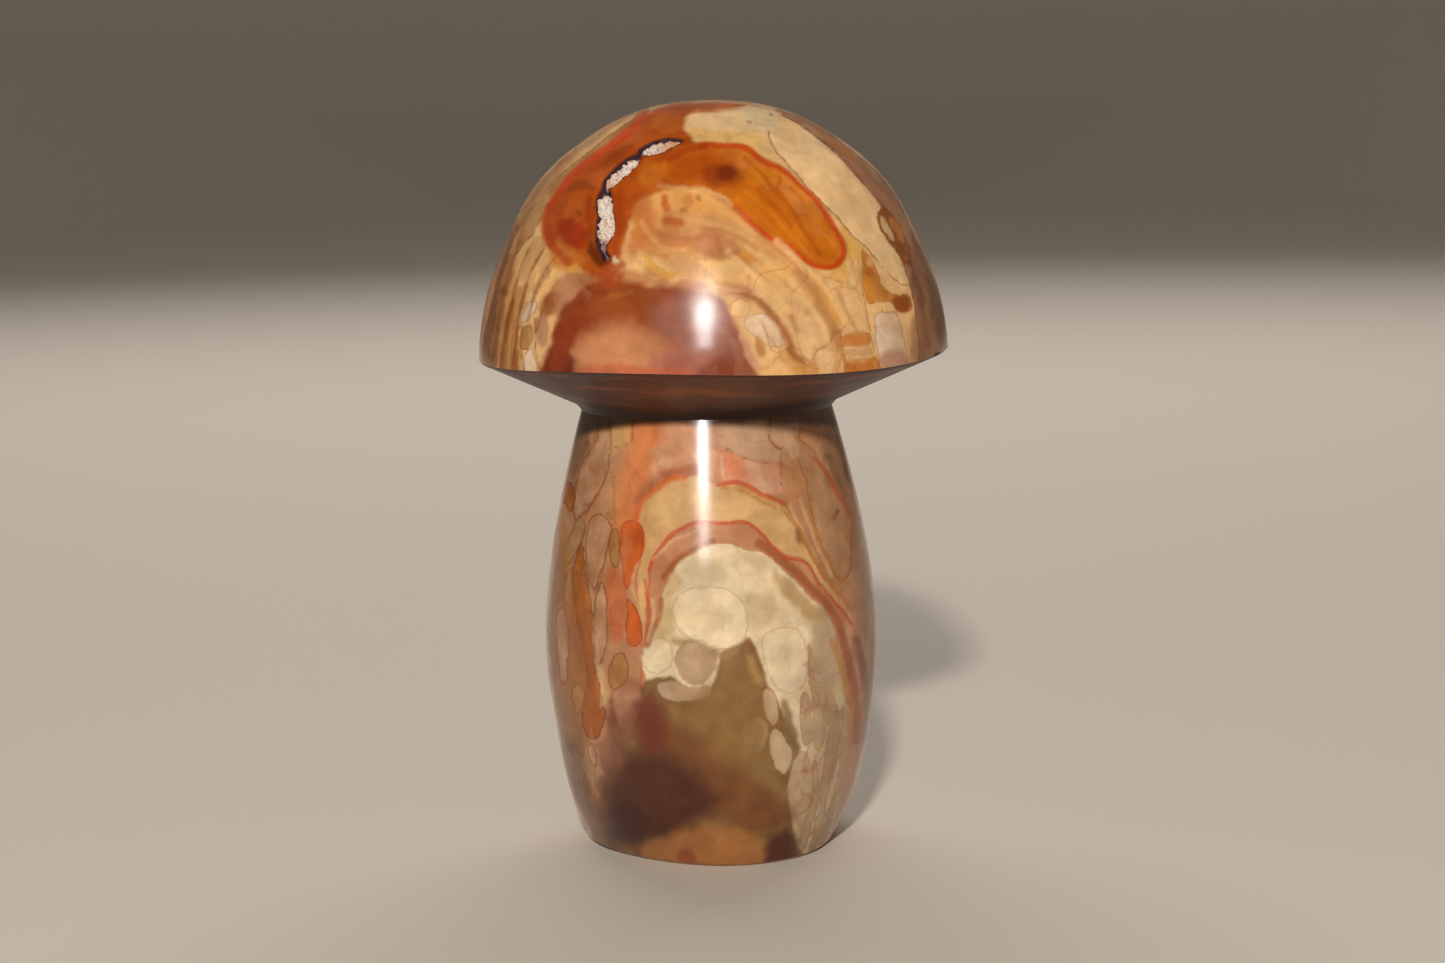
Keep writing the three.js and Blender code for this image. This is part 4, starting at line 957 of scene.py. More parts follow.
def fissure_tool():
    """The body that the pits are cut with: steep ragged walls over an uneven floor."""
    middle, side, out, half_width = fissure_stations(PIT_STEPS)
    depth = np.minimum(PIT_DEPTH, PIT_LEAST_DEPTH + PIT_DEEPENING * half_width)
    rings = []
    for turn in np.linspace(0, math.pi, PIT_SECTION_POINTS):
        sideways = math.cos(turn) * half_width
        inwards = depth * math.sin(turn) ** 0.6
        ragged = middle + side * sideways[:, None] - out * inwards[:, None]
        wander = sum(reach * soft_noise(ragged, size, seed) for size, reach, seed in PIT_RAGGEDNESS)
        wander_sideways = (wander * math.cos(turn))[:, None]
        wander_inwards = (wander * math.sin(turn))[:, None]
        rings.append(ragged + side * wander_sideways - out * wander_inwards)
    for ring in (rings[-1], rings[0]):
        rings.append(ring + out * PIT_HEADROOM)
    rings = np.stack(rings, 1)
    return ring_mesh("pit_tool", rings[0].mean(0), rings, rings[-1].mean(0))


def chip_tool(azimuth, half_length, half_height):
    """A rough lump that bites a chip out of the rim."""
    angle = math.radians(azimuth - 90)
    lump = bmesh.new()
    bmesh.ops.create_icosphere(lump, subdivisions=3, radius=1)
    points = np.array([vertex.co for vertex in lump.verts])
    points *= 1 + CHIP_ROUGHNESS * soft_noise(points, 0.8, int(azimuth))[:, None]
    points *= np.array([2 * CHIP_BITE, half_length, half_height])
    cosine, sine = math.cos(angle), math.sin(angle)
    points = points @ np.array([[cosine, sine, 0], [-sine, cosine, 0], [0, 0, 1]])
    points += dome_points(rim_elevation(np.array([angle])), np.array([angle]), CHIP_BITE)
    faces = [[vertex.index for vertex in face.verts] for face in lump.faces]
    lump.free()
    return new_object("chip_tool", points, faces)


def face_outwards(made):
    shell = bmesh.new()
    shell.from_mesh(made.data)
    bmesh.ops.recalc_face_normals(shell, faces=shell.faces)
    shell.to_mesh(made.data)
    shell.free()


def cut_away(piece, tools):
    for tool in tools:
        face_outwards(tool)
        cut = piece.modifiers.new("cut", "BOOLEAN")
        cut.operation = "DIFFERENCE"
        cut.object = tool
        cut.solver = "EXACT"
    bpy.context.view_layer.update()
    evaluated = piece.evaluated_get(bpy.context.evaluated_depsgraph_get())
    mesh = bpy.data.meshes.new_from_object(evaluated)
    piece.modifiers.clear()
    piece.data = mesh
    for tool in tools:
        bpy.data.objects.remove(tool)


def make_stone():
    top = dome_points(np.array(math.pi / 2), np.array([0.0]))[0]
    stone = ring_mesh("jasper_stone", (STEM_CENTRE_X, 0, 0), stone_rings(), top)
    cut_away(stone, [fissure_tool()] + [chip_tool(*chip) for chip in CHIPS])
    mesh = stone.data
    mesh.polygons.foreach_set("use_smooth", [True] * len(mesh.polygons))
    mesh.set_sharp_from_angle(angle=SHARP_ANGLE)
    return stone


def crystal_heights(along_way, sideways):
    """Height of a bed of small pointed crystals at places on the fissure, from 0 to about 1."""
    random = np.random.default_rng(31)
    length = along_way.max()
    count = int(length * 2 * sideways.max() * CRYSTALS_PER_SQUARE_MM)
    height = np.zeros(along_way.shape)
    for _ in range(count):
        centre_along = random.uniform(0, length)
        centre_side = random.uniform(-1, 1) * sideways.max()
        size = random.uniform(*CRYSTAL_SIZES)
        peak = random.uniform(0.55, 1)
        turn = random.uniform(0, math.pi)
        near = np.abs(along_way - centre_along) + np.abs(sideways - centre_side) < 2 * size
        dx = along_way[near] - centre_along
        dy = sideways[near] - centre_side
        turns = [turn + k * 2 * math.pi / CRYSTAL_FACES for k in range(CRYSTAL_FACES)]
        faces = [dx * math.cos(face_turn) + dy * math.sin(face_turn) for face_turn in turns]
        height[near] = np.maximum(height[near], peak - np.max(faces, axis=0) / size * 0.8)
    return height


def make_druse():
    """A crust of small crystals that fills the pits to just below the polished face."""
    middle, side, out, half_width = fissure_stations(DRUSE_STEPS)
    depth = np.minimum(PIT_DEPTH, PIT_LEAST_DEPTH + PIT_DEEPENING * half_width)[:, None]
    travelled = np.concatenate([[0], np.cumsum(np.linalg.norm(np.diff(middle, axis=0), axis=1))])
    table = np.array(CRUST)
    steps = np.linspace(0, 1, DRUSE_STEPS)
    places = np.linspace(0, 1, len(table))
    low, high, fullness, peach = (np.interp(steps, places, table[:, i]) for i in range(4))
    low = low + 0.12 * soft_noise(middle, 0.9, 41)
    high = high + 0.12 * soft_noise(middle, 0.9, 42)
    across = np.linspace(0, 1, DRUSE_SECTION_POINTS)[None, :]
    share = np.clip(low[:, None] * (1 - across) + high[:, None] * across, -0.98, 0.98)
    sideways = share * half_width[:, None]
    crystals = crystal_heights(np.repeat(travelled[:, None], DRUSE_SECTION_POINTS, 1), sideways)
    floor = -0.98 * depth * (1 - share**2) ** 0.3
    crown = 1 - 0.3 * np.abs(2 * across - 1) ** 6
    surface = -CRUST_LEVEL + CRYSTAL_RELIEF * (crystals - 0.35)
    level = floor + (surface - floor) * crown * fullness[:, None]
    level = np.clip(level, floor + 0.01, -0.03)
    top = middle[:, None] + side[:, None] * sideways[..., None] + out[:, None] * level[..., None]
    under = slice(None, None, -6)
    bottom = middle[:, None] + side[:, None] * sideways[:, under, None] + out[:, None] * floor[:, under, None]
    rings = np.concatenate([top, bottom], 1)
    druse = ring_mesh("druse_crust", rings[0].mean(0), rings, rings[-1].mean(0))
    blush = np.repeat(peach, rings.shape[1])
    write_attribute(druse.data, "blush", "FLOAT", np.concatenate([[peach[0]], blush, [peach[-1]]]))
    face_outwards(druse)
    return druse


# The camera, the floor and the lights

def camera_axes():
    """The camera's ways right, up and forward."""
    forward = Vector((0, math.cos(PITCH), -math.sin(PITCH)))
    level_up = Vector((0, math.sin(PITCH), math.cos(PITCH)))
    level_right = Vector((1, 0, 0))
    right = math.cos(ROLL) * level_right + math.sin(ROLL) * level_up
    up = math.cos(ROLL) * level_up - math.sin(ROLL) * level_right
    return right, up, forward


def add_camera():
    right, up, forward = camera_axes()
    data = bpy.data.cameras.new("camera")
    data.sensor_width = SENSOR_WIDTH
    data.lens = FOCAL_PIXELS / PHOTO_WIDTH * SENSOR_WIDTH
    data.clip_start = 0.01
    data.clip_end = 20
    camera = bpy.data.objects.new("camera", data)
    bpy.context.scene.collection.objects.link(camera)
    turn = Matrix((right, up, -forward)).transposed().to_4x4()
    camera.matrix_world = Matrix.Translation(EYE * MM) @ turn
    bpy.context.scene.camera = camera


def photo_pixels(points):
    """Where points in millimetres show in the photograph."""
    right, up, forward = (np.array(axis) for axis in camera_axes())
    away = points - np.array(EYE)
    depth = away @ forward
    x = PHOTO_WIDTH / 2 + FOCAL_PIXELS * (away @ right) / depth
    y = PHOTO_HEIGHT / 2 - FOCAL_PIXELS * (away @ up) / depth
    return x, y


def add_area_light(name, azimuth, elevation, distance, width, height, power, colour):
    """A rectangular light that faces the stone, placed as the lights' list says."""
    turn, rise = math.radians(azimuth - 90), math.radians(elevation)
    way = Vector((math.cos(turn) * math.cos(rise), math.sin(turn) * math.cos(rise), math.sin(rise)))
    data = bpy.data.lights.new(name, "AREA")
    data.shape = "RECTANGLE"
    data.size = width
    data.size_y = height
    data.energy = power
    data.color = colour
    light = bpy.data.objects.new(name, data)
    light.location = (LIGHT_AIM + way * distance) * MM
    light.rotation_euler = way.to_track_quat("Z", "Y").to_euler()
    bpy.context.scene.collection.objects.link(light)
    return light


def add_sweep():
    """A pale floor that curves up into a round backdrop."""
    turns = np.linspace(0, 2 * math.pi, 96, endpoint=False)
    bend = np.linspace(0, math.pi / 2, 24)
    profile = [(FLOOR_RADIUS + SWEEP_RADIUS * math.sin(b), SWEEP_RADIUS * (1 - math.cos(b))) for b in bend]
    profile.append((FLOOR_RADIUS + SWEEP_RADIUS, BACKDROP_HEIGHT))
    points = [(0, 0, 0)]
    for radius, height in profile:
        points.extend((radius * math.cos(turn), radius * math.sin(turn), height) for turn in turns)
    count = len(turns)
    faces = [(0, 1 + k, 1 + (k + 1) % count) for k in range(count)]
    for ring in range(len(profile) - 1):
        low, high = 1 + ring * count, 1 + (ring + 1) * count
        for k in range(count):
            after = (k + 1) % count
            faces.append((low + k, high + k, high + after, low + after))
    sweep = new_object("floor_sweep", points, faces)
    sweep.data.polygons.foreach_set("use_smooth", [True] * len(sweep.data.polygons))
    sweep.data.materials.append(plain_material("pale_floor", srgb(*FLOOR_TONE), FLOOR_ROUGHNESS))


# Materials

def srgb(red, green, blue):
    """A linear colour from the 0 to 255 values that a screen shows."""
    values = np.array([red, green, blue]) / 255
    linear = np.where(values <= 0.04045, values / 12.92, ((values + 0.055) / 1.055) ** 2.4)
    return tuple(float(v) for v in linear)


def plain_material(name, colour, roughness):
    material = bpy.data.materials.new(name)
    material.use_nodes = True
    shader = material.node_tree.nodes["Principled BSDF"]
    shader.inputs["Base Color"].default_value = (*colour, 1)
    shader.inputs["Roughness"].default_value = roughness
    return material


def cut_corners(start, end):
    """Two points on each side from a start to an end, a little in from both."""
    near_start = start * (1 - CORNER_CUT) + end * CORNER_CUT
    near_end = start * CORNER_CUT + end * (1 - CORNER_CUT)
    return np.stack([near_start, near_end], 1).reshape(-1, 2)


def smooth_outline(outline):
    """A closed outline with its corners cut round."""
    corners = np.array(outline, float)
    for _ in range(CORNER_ROUNDS):
        corners = cut_corners(corners, np.roll(corners, -1, axis=0))
    return corners


def smooth_line(points):
    """An open line with its corners cut round."""
    corners = np.array(points, float)
    for _ in range(CORNER_ROUNDS):
        cut = cut_corners(corners[:-1], corners[1:])
        corners = np.vstack([corners[:1], cut[1:-1], corners[-1:]])
    return corners


def within_reach(x, y, corners, reach):
    """Which places lie in the corners' box or no further from it than the reach."""
    low, high = corners.min(0) - reach, corners.max(0) + reach
    return (x > low[0]) & (x < high[0]) & (y > low[1]) & (y < high[1])


def squared_distance(x, y, start, end):
    """Squared distance from each place to the straight side from start to end."""
    dx, dy = end - start
    length = max(dx * dx + dy * dy, SHORTEST_SIDE**2)
    share = np.clip(((x - start[0]) * dx + (y - start[1]) * dy) / length, 0, 1)
    return (x - start[0] - share * dx) ** 2 + (y - start[1] - share * dy) ** 2


def distance_inside(x, y, outline):
    """Distance in pixels from each place to the outline, positive inside it, up to the reach outside it."""
    corners = smooth_outline(outline)
    near = within_reach(x, y, corners, OUTLINE_REACH)
    px, py = x[near], y[near]
    nearest = np.full(px.shape, OUTLINE_REACH**2)
    inside = np.zeros(px.shape, bool)
    for start, end in zip(corners, np.roll(corners, -1, axis=0)):
        nearest = np.minimum(nearest, squared_distance(px, py, start, end))
        if start[1] != end[1]:
            crosses = (start[1] > py) != (end[1] > py)
            slope = (end[0] - start[0]) / (end[1] - start[1])
            inside ^= crosses & (px < slope * (py - start[1]) + start[0])
    result = np.full(x.shape, -OUTLINE_REACH)
    result[near] = np.where(inside, 1, -1) * np.sqrt(nearest)
    return result


def distance_to_line(x, y, points):
    """Distance in pixels from each place to an open line, up to the reach."""
    corners = smooth_line(points)
    near = within_reach(x, y, corners, LINE_REACH)
    px, py = x[near], y[near]
    nearest = np.full(px.shape, LINE_REACH**2)
    for start, end in zip(corners[:-1], corners[1:]):
        nearest = np.minimum(nearest, squared_distance(px, py, start, end))
    result = np.full(x.shape, LINE_REACH)
    result[near] = np.sqrt(nearest)
    return result


def washed(x, y, washes, fade):
    """Colour and cover of a list of washes at each place."""
    colour = np.zeros((len(x), 3))
    cover = np.zeros(len(x))
    for _, tone, blur, strength, outline in washes:
        share = np.clip(distance_inside(x, y, outline) / blur + 0.5, 0, 1)
        share = share * share * (3 - 2 * share) * strength
        total = share + cover * (1 - share)
        weight = np.divide(share, total, out=np.zeros_like(share), where=total > 0)[:, None]
        colour = colour * (1 - weight) + np.array(srgb(*tone)) * weight
        cover = total
    return np.hstack([colour, (cover * fade)[:, None]])


def mesh_points(mesh):
    points = np.empty(len(mesh.vertices) * 3)
    mesh.vertices.foreach_get("co", points)
    return points.reshape(-1, 3) / MM


def write_attribute(mesh, name, kind, values):
    attribute = mesh.attributes.new(name, kind, "POINT")
    attribute.data.foreach_set("color" if kind == "FLOAT_COLOR" else "value", np.ravel(values))


def depth_below_dome(points):
    """How far in millimetres each point lies inside the dome's polished surface, for points on the cap."""
    from_centre = points - np.array([0, 0, DOME_CENTRE_HEIGHT])
    reach = np.linalg.norm(from_centre, axis=1)
    elevation = np.arcsin(np.clip(from_centre[:, 2] / reach, 0, 1))
    depth = along(DOME_REACH, elevation / (math.pi / 2), True) - reach
    return np.where(points[:, 2] > RIM_HEIGHT + 2, depth, 0)


def height_above_painted_shadow(points):
    """How far in millimetres each point of the stem lies above the edge of the cap's painted shadow."""
    to_front = -points[:, 1] / np.maximum(np.hypot(points[:, 0], points[:, 1]), 1)
    edge = PAINTED_SHADOW_HEIGHT - PAINTED_SHADOW_DROP * (1 - np.clip(to_front, 0, 1)) + 0.15 * soft_noise(points, 6, 61)
    return np.where(points[:, 2] < NECK_HEIGHT + 0.5, points[:, 2] - edge, -10)


def distance_to_fissure(points):
    """Distance in millimetres from each point to the fissure's edge."""
    middle, _, _, half_width = fissure_stations(60)
    nearest = np.full(len(points), 10.0)
    for centre, width in zip(middle, half_width):
        nearest = np.minimum(nearest, np.linalg.norm(points - centre, axis=1) - width)
    return nearest


def paint_markings(stone):
    """Writes each mark's distance and the washes' colours to the stone's points.

    The markings run through the stone, so the far side shows them again, pushed out of shape.
    """
    mesh = stone.data
    points = mesh_points(mesh)
    normals = np.empty(len(points) * 3)
    mesh.vertices.foreach_get("normal", normals)
    normals = normals.reshape(-1, 3)
    to_eye = np.array(EYE) - points
    to_eye /= np.linalg.norm(to_eye, axis=1)[:, None]
    facing = (normals * to_eye).sum(1)
    on_underside = (normals[:, 2] < -0.5) & (points[:, 2] > NECK_HEIGHT - 1)
    on_cap = (points[:, 2] > NECK_HEIGHT) & ~on_underside
    reach = np.hypot(points[:, 0], points[:, 1]) / DOME_REACH[0]
    write_attribute(mesh, "underside", "FLOAT", on_underside * np.clip(reach, 0.01, 1))
    x, y = photo_pixels(points)
    behind = np.clip(-facing / BACK_WARP_RISE, 0, 1)
    x += behind * (BACK_WARP * soft_noise(points, 34, 21) + BACK_RIPPLE * soft_noise(points, 10, 22))
    y += behind * (BACK_WARP * soft_noise(points, 34, 23) + BACK_RIPPLE * soft_noise(points, 10, 24))
    y = np.where(on_cap, np.minimum(y, CAP_LOWEST_PIXEL), y)
    y = np.where(points[:, 2] <= NECK_HEIGHT, np.maximum(y, STEM_HIGHEST_PIXEL), y)
    ragged = 0.04 * soft_noise(points, 9, 5)
    shown = np.maximum(facing - SIDE_FADE_START, -facing - BACK_FADE_START) + ragged
    shown[on_underside] = -1
    fade = np.clip(shown / SIDE_FADE_WIDTH, 0, 1)
    wash_x = x + 1.2 * soft_noise(points, 5, 1) + 0.9 * soft_noise(points, 1.8, 6)
    wash_y = y + 1.2 * soft_noise(points, 5, 2) + 0.9 * soft_noise(points, 1.8, 7)
    write_attribute(mesh, "under_wash", "FLOAT_COLOR", washed(wash_x, wash_y, UNDER_WASHES, fade))
    write_attribute(mesh, "over_wash", "FLOAT_COLOR", washed(wash_x, wash_y, OVER_WASHES, fade))
    mark_x = x + 0.7 * soft_noise(points, 3, 3)
    mark_y = y + 0.7 * soft_noise(points, 3, 4)
    flakes = np.full(len(points), 0.5)
    for _, strength, outline in FLAKED_AREAS:
        share = np.clip(distance_inside(wash_x, wash_y, outline) / 10 + 0.5, 0, 1)
        flakes += (strength - flakes) * share * fade
    flakes[on_underside] = 0
    write_attribute(mesh, "flakes", "FLOAT", flakes)
    # Where the cap's painted shadow lies on the stem
    write_attribute(mesh, "painted_shadow", "FLOAT", height_above_painted_shadow(points))
    write_attribute(mesh, "pit", "FLOAT", depth_below_dome(points))
    write_attribute(mesh, "fissure", "FLOAT", distance_to_fissure(points))
    for name, _, _, _, _, _, _, outlines in MARKS:
        distance = np.max([distance_inside(mark_x, mark_y, outline) for outline in outlines], axis=0)
        write_attribute(mesh, "mark_" + name, "FLOAT", np.minimum(distance, shown * SIDE_FADE_PIXELS))
    for name, _, _, _, lines in VEINS:
        distances = [distance_to_line(mark_x, mark_y, line) - width / 2 for width, line in lines]
        distance = np.maximum(np.min(distances, axis=0), -shown * SIDE_FADE_PIXELS)
        write_attribute(mesh, "vein_" + name, "FLOAT", distance)


# Shader building

def put(tree, kind, inputs=None, **settings):
    """A new shader node. Inputs are given by name or number, as values or as sockets to link."""
    made = tree.nodes.new("ShaderNode" + kind)
    for name, value in settings.items():
        setattr(made, name, value)
    for key, value in (inputs or {}).items():
        if isinstance(value, bpy.types.NodeSocket):
            tree.links.new(value, made.inputs[key])
        else:
            made.inputs[key].default_value = value
    return made


def maths(tree, operation, first, second=0.0, third=0.0, clamp=False):
    made = put(tree, "Math", {0: first, 1: second, 2: third}, operation=operation, use_clamp=clamp)
    return made.outputs[0]


def blend_colours(tree, share, first, second, way="MIX"):
    made = put(tree, "Mix", {0: share, 6: first, 7: second}, data_type="RGBA", blend_type=way)
    return made.outputs[2]


def smooth_step(tree, value, low, high, low_out=0.0, high_out=1.0):
    made = put(
        tree,
        "MapRange",
        {"Value": value, "From Min": low, "From Max": high, "To Min": low_out, "To Max": high_out},
        interpolation_type="SMOOTHSTEP",
    )
    return made.outputs["Result"]


def noise_value(tree, place, size, detail=2.0, roughness=0.5):
    """Noise whose features are about as large as the given size in millimetres."""
    made = put(
        tree,
        "TexNoise",
        {
            "Vector": place,
            "Scale": 1 / (size * MM),
            "Detail": detail,
            "Roughness": roughness,
        },
    )
    return made.outputs["Fac"]


def noise_colour(tree, place, size, detail=2.0):
    made = put(tree, "TexNoise", {"Vector": place, "Scale": 1 / (size * MM), "Detail": detail})
    return made.outputs["Color"]


def cell_pattern(tree, place, size, feature="F1"):
    """Cells about as wide as the given size in millimetres."""
    return put(tree, "TexVoronoi", {"Vector": place, "Scale": 1 / (size * MM)}, feature=feature)


def rgba(tone):
    return (*srgb(*tone), 1)


def ramp(tree, value, stops):
    """A colour ramp through stops of (place, tone)."""
    made = put(tree, "ValToRGB", {0: value})
    elements = made.color_ramp.elements
    while len(elements) < len(stops):
        elements.new(0.5)
    for element, (place, tone) in zip(elements, stops):
        element.position = place
        element.color = rgba(tone)
    return made.outputs["Color"]


def attribute(tree, name):
    return put(tree, "Attribute", attribute_name=name)


def warped(tree, place, size, amount, detail=2.0):
    """The place pushed about by noise, by up to about the given amount in millimetres."""
    colour = noise_colour(tree, place, size, detail)
    push = put(tree, "VectorMath", {0: colour, 1: (0.5, 0.5, 0.5)}, operation="SUBTRACT")
    scaled = put(tree, "VectorMath", {0: push.outputs[0], "Scale": 2 * amount * MM}, operation="SCALE")
    return put(tree, "VectorMath", {0: place, 1: scaled.outputs[0]}, operation="ADD").outputs[0]


def ground_jasper(tree, place):
    """Colour of the stone where no marking is drawn: banded patches crossed by healed cracks."""
    flowing = warped(tree, warped(tree, place, 16, 7), 5, 1.6)
    field = noise_value(tree, flowing, 17, detail=1.5, roughness=0.4)
    colour = ramp(tree, field, GROUND_STOPS)
    cells = cell_pattern(tree, flowing, GROUND_CELL_SIZE)
    cell_tone = put(tree, "SeparateColor", {0: cells.outputs["Color"]}).outputs[0]
    colour = blend_colours(tree, maths(tree, "MULTIPLY", cell_tone, 0.4), colour, rgba(GROUND_CELL_TONE))
    edges = cell_pattern(tree, flowing, GROUND_CELL_SIZE, "DISTANCE_TO_EDGE")
    line = smooth_step(tree, edges.outputs["Distance"], 0.0, 0.035, 0.7, 0.0)
    return blend_colours(tree, line, colour, rgba(GROUND_CRACK_TONE))


def underside_streaks_and_shade(tree, place):
    """Burgundy streaks that run level round the underside, painted darker as shade under the cap."""
    flowing = warped(tree, place, 8, 1.2)
    flat = put(tree, "Mapping", {"Vector": flowing, "Scale": (0.25, 0.25, 2.6)}).outputs[0]
    return ramp(tree, noise_value(tree, flat, 3, 3.0), UNDERSIDE_STREAK_AND_SHADE_STOPS)


def flake_shading(tree, colour, place):
    """Lightens and darkens the colour in small overlapping cells with thin healed edges between them."""
    height = put(tree, "SeparateXYZ", {0: place}).outputs[2]
    on_cap = maths(tree, "GREATER_THAN", height, (RIM_HEIGHT - 1) * MM)
    flowing = warped(tree, warped(tree, place, 9, 2.6), 2.4, 0.5)
    upright = put(tree, "Mapping", {"Vector": flowing, "Scale": (1.2, 1.2, 0.36)}).outputs[0]
    leaning = put(
        tree, "Mapping", {"Vector": flowing, "Rotation": (0, math.radians(-42), 0), "Scale": (1.15, 1, 0.62)}
    ).outputs[0]
    cell_place = put(tree, "Mix", {0: on_cap, 4: upright, 5: leaning}, data_type="VECTOR").outputs[1]
    cells = cell_pattern(tree, cell_place, FLAKE_SIZE)
    edges = cell_pattern(tree, cell_place, FLAKE_SIZE, "DISTANCE_TO_EDGE")
    tone = put(tree, "SeparateColor", {0: cells.outputs["Color"]})
    strength = attribute(tree, "flakes").outputs["Fac"]
    lighten = maths(tree, "MULTIPLY", smooth_step(tree, tone.outputs[0], 0.45, 1.0, 0.0, 0.4), strength)
    darken = maths(tree, "MULTIPLY", smooth_step(tree, tone.outputs[1], 0.4, 1.0, 0.0, 0.42), strength)
    colour = blend_colours(tree, lighten, colour, rgba(FLAKE_LIGHT_TONE))
    colour = blend_colours(tree, darken, colour, rgba(FLAKE_DARK_TONE))
    some = smooth_step(tree, noise_value(tree, place, 5), 0.42, 0.62)
    rim = smooth_step(tree, edges.outputs["Distance"], 0.0, 0.2, 0.34, 0.0)
    edge_strength = maths(tree, "MULTIPLY", strength, some)
    colour = blend_colours(tree, maths(tree, "MULTIPLY", rim, edge_strength), colour, rgba(FLAKE_RIM_TONE))
    crack = smooth_step(tree, edges.outputs["Distance"], 0.006, 0.04, 0.4, 0.0)
    return blend_colours(tree, maths(tree, "MULTIPLY", crack, edge_strength), colour, rgba(FLAKE_CRACK_TONE))


def fine_detail(tree, colour, place):
    """Fine clouding that keeps each colour's hue, a few thin threads and scattered rust specks."""
    cloud = noise_value(tree, warped(tree, place, 4, 1.0), 2.4, 4.0, 0.6)
    shade = smooth_step(tree, cloud, 0.25, 0.75, 0.87, 1.14)
    colour = blend_colours(tree, 1.0, colour, shade, "MULTIPLY")
    drift = noise_value(tree, warped(tree, place, 9, 3.0), 6, 2.0)
    shade = smooth_step(tree, drift, 0.3, 0.7, 0.92, 1.07)
    colour = blend_colours(tree, 1.0, colour, shade, "MULTIPLY")
    threads = noise_value(tree, warped(tree, place, 10, 3.0), 7, 1.0)
    off_thread = maths(tree, "ABSOLUTE", maths(tree, "SUBTRACT", threads, 0.5))
    thread_line = smooth_step(tree, off_thread, 0.0, 0.012, 0.5, 0.0)
    thread = maths(tree, "MULTIPLY", thread_line, attribute(tree, "flakes").outputs["Fac"])
    colour = blend_colours(tree, thread, colour, rgba(THREAD_TONE))
    spots = cell_pattern(tree, place, SPECK_SPACING)
    chosen = smooth_step(tree, put(tree, "SeparateColor", {0: spots.outputs["Color"]}).outputs[2], 0.84, 0.88)
    spot = maths(tree, "MULTIPLY", smooth_step(tree, spots.outputs["Distance"], 0.03, 0.07, 0.7, 0.0), chosen)
    return blend_colours(tree, spot, colour, rgba(SPECK_TONE))


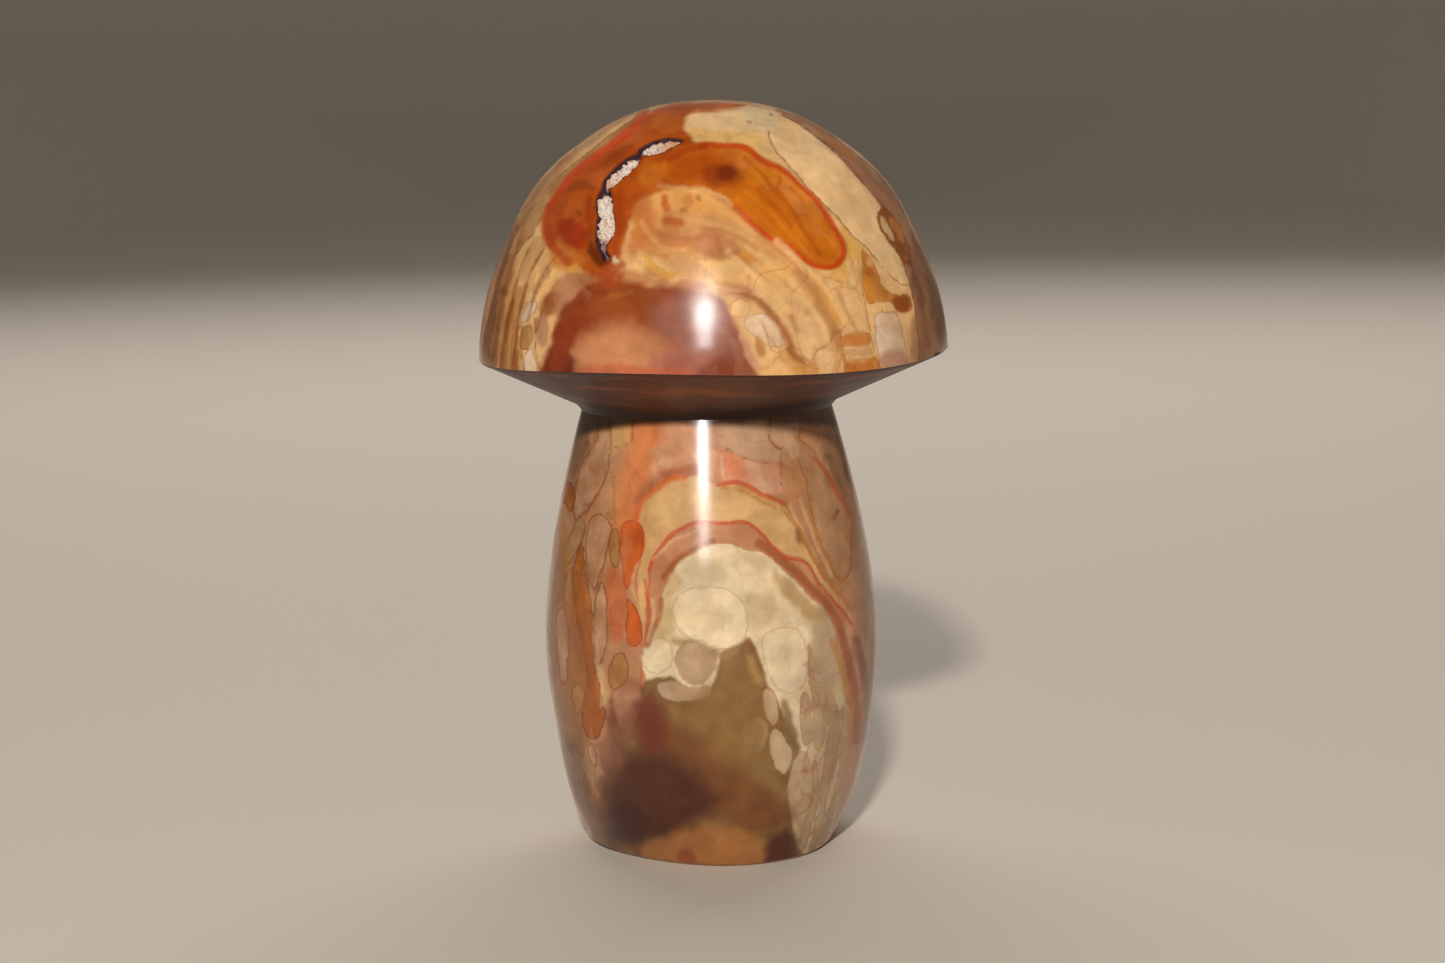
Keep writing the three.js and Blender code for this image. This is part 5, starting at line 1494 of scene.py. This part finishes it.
def make_jasper():
    material = bpy.data.materials.new("polished_jasper")
    material.use_nodes = True
    tree = material.node_tree
    shader = tree.nodes["Principled BSDF"]
    place = put(tree, "TexCoord").outputs["Object"]
    colour = ground_jasper(tree, place)
    under = attribute(tree, "under_wash")
    colour = blend_colours(tree, under.outputs["Alpha"], colour, under.outputs["Color"])
    wobble = maths(tree, "MULTIPLY_ADD", noise_value(tree, place, 0.9, 3.0), 5.0, -2.5)
    choice = smooth_step(tree, noise_value(tree, place, 3.2, 3.0), 0.35, 0.65)
    for name, first, second, blur, line_tone, line_width, line_strength, _ in MARKS:
        distance = maths(tree, "ADD", attribute(tree, "mark_" + name).outputs["Fac"], wobble)
        cover = smooth_step(tree, distance, -blur / 2, blur / 2)
        fill = blend_colours(tree, choice, rgba(first), rgba(second))
        colour = blend_colours(tree, cover, colour, fill)
        off_line = maths(tree, "ABSOLUTE", distance)
        line = smooth_step(tree, off_line, line_width * 0.3, line_width * 0.8, line_strength, 0.0)
        colour = blend_colours(tree, line, colour, rgba(line_tone))
    colour = flake_shading(tree, colour, place)
    over = attribute(tree, "over_wash")
    colour = blend_colours(tree, over.outputs["Alpha"], colour, over.outputs["Color"])
    for name, tone, blur, strength, _ in VEINS:
        distance = maths(tree, "MULTIPLY_ADD", wobble, 0.6, attribute(tree, "vein_" + name).outputs["Fac"])
        share = smooth_step(tree, distance, -blur / 2, blur / 2, strength, 0.0)
        colour = blend_colours(tree, share, colour, rgba(tone))
    colour = fine_detail(tree, colour, place)
    # Painted shadow: the cap's shadow on the top of the stem, painted dark into the colour
    painted_shadow = smooth_step(tree, attribute(tree, "painted_shadow").outputs["Fac"], -PAINTED_SHADOW_BLUR, PAINTED_SHADOW_BLUR, 0.0, 0.82)
    colour = blend_colours(tree, painted_shadow, colour, rgba(PAINTED_SHADOW_TONE))
    reach = attribute(tree, "underside").outputs["Fac"]
    # Burgundy streaks with painted shade under the cap
    streaks = underside_streaks_and_shade(tree, place)
    # Painted shade: the underside turns near black towards the neck
    shade_towards_neck = smooth_step(tree, reach, 0.55, 0.85, 0.8, 0.0)
    streaks = blend_colours(tree, shade_towards_neck, streaks, rgba(NECK_SHADE_TONE))
    is_underside = maths(tree, "GREATER_THAN", reach, 0.001)
    colour = blend_colours(tree, is_underside, colour, streaks)
    # Dark mineral stain along the fissure's edge, partly painted shade
    stain_and_shade_edge = maths(tree, "MULTIPLY_ADD", wobble, 0.06, attribute(tree, "fissure").outputs["Fac"])
    stain_and_shade = smooth_step(tree, stain_and_shade_edge, 0.0, 0.3, 0.6, 0.0)
    colour = blend_colours(tree, stain_and_shade, colour, rgba(FISSURE_STAIN_AND_SHADE))
    # The pits' walls: a dark mineral lining with painted shade in the recess
    in_pit = smooth_step(tree, attribute(tree, "pit").outputs["Fac"], 0.03, 0.15)
    colour = blend_colours(tree, in_pit, colour, rgba(PIT_LINING_AND_SHADE_TONE))
    tree.links.new(colour, shader.inputs["Base Color"])
    smudges = noise_value(tree, place, 6, 4.0, 0.6)
    polish = smooth_step(tree, smudges, 0.35, 0.65, POLISHED_ROUGHNESS - 0.03, POLISHED_ROUGHNESS + 0.05)
    dull_pit = maths(tree, "MULTIPLY", in_pit, PIT_DULLNESS)
    dull_underside = maths(tree, "MULTIPLY", is_underside, UNDERSIDE_DULLNESS)
    dull = maths(tree, "MAXIMUM", dull_pit, dull_underside)
    roughness = maths(tree, "ADD", dull, polish, clamp=True)
    tree.links.new(roughness, shader.inputs["Roughness"])
    broad_ripple = noise_value(tree, place, 5, 1.0)
    ripple = maths(tree, "MULTIPLY_ADD", noise_value(tree, place, 0.6, 2.0), 0.15, broad_ripple)
    bump = put(tree, "Bump", {"Height": ripple, "Strength": 0.12, "Distance": 0.1 * MM})
    tree.links.new(bump.outputs["Normal"], shader.inputs["Normal"])
    shader.inputs["IOR"].default_value = 1.54
    return material


def make_crystal():
    """Pale rough crystals, with painted shade, dark purple, in the hollows between them."""
    material = bpy.data.materials.new("druse_crystal")
    material.use_nodes = True
    tree = material.node_tree
    shader = tree.nodes["Principled BSDF"]
    place = put(tree, "TexCoord").outputs["Object"]
    tint = noise_value(tree, place, 0.7, 3.0)
    pale = ramp(tree, tint, CRYSTAL_STOPS)
    blush = maths(tree, "MULTIPLY", attribute(tree, "blush").outputs["Fac"], 0.75)
    pale = blend_colours(tree, blush, pale, rgba(PEACH_CRYSTAL))
    speckle = smooth_step(tree, noise_value(tree, place, 0.3, 3.0), 0.54, 0.66, 0.0, 0.7)
    pale = blend_colours(tree, speckle, pale, rgba(CRYSTAL_SPECKLE))
    depth = attribute(tree, "pit").outputs["Fac"]
    # Painted shade where the crystals lie deep below the polished face
    hollow_shade = smooth_step(tree, depth, 0.34, 0.75, 0.0, 1.0)
    colour = blend_colours(tree, hollow_shade, pale, rgba(CRYSTAL_HOLLOW_SHADE))
    tree.links.new(colour, shader.inputs["Base Color"])
    grain = noise_value(tree, place, 0.12, 3.0)
    tree.links.new(smooth_step(tree, grain, 0.3, 0.7, 0.3, 0.65), shader.inputs["Roughness"])
    bump = put(tree, "Bump", {"Height": grain, "Strength": 0.5, "Distance": 0.06 * MM})
    tree.links.new(bump.outputs["Normal"], shader.inputs["Normal"])
    return material


bpy.context.scene.view_settings.view_transform = "Standard"
add_camera()

world = bpy.data.worlds.new("studio")
world.use_nodes = True
world.node_tree.nodes["Background"].inputs["Color"].default_value = WORLD_COLOUR
world.node_tree.nodes["Background"].inputs["Strength"].default_value = WORLD_STRENGTH
bpy.context.scene.world = world
add_sweep()

for *light_values, ungiven in LIGHTS:
    light = add_area_light(*light_values)
    setattr(light, ungiven, False)

stone = make_stone()
paint_markings(stone)
stone.data.materials.append(make_jasper())
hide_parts("mushroom")
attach(stone, "root")

druse = make_druse()
write_attribute(druse.data, "pit", "FLOAT", depth_below_dome(mesh_points(druse.data)))
druse.data.materials.append(make_crystal())
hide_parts("druse")
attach(druse, "root")
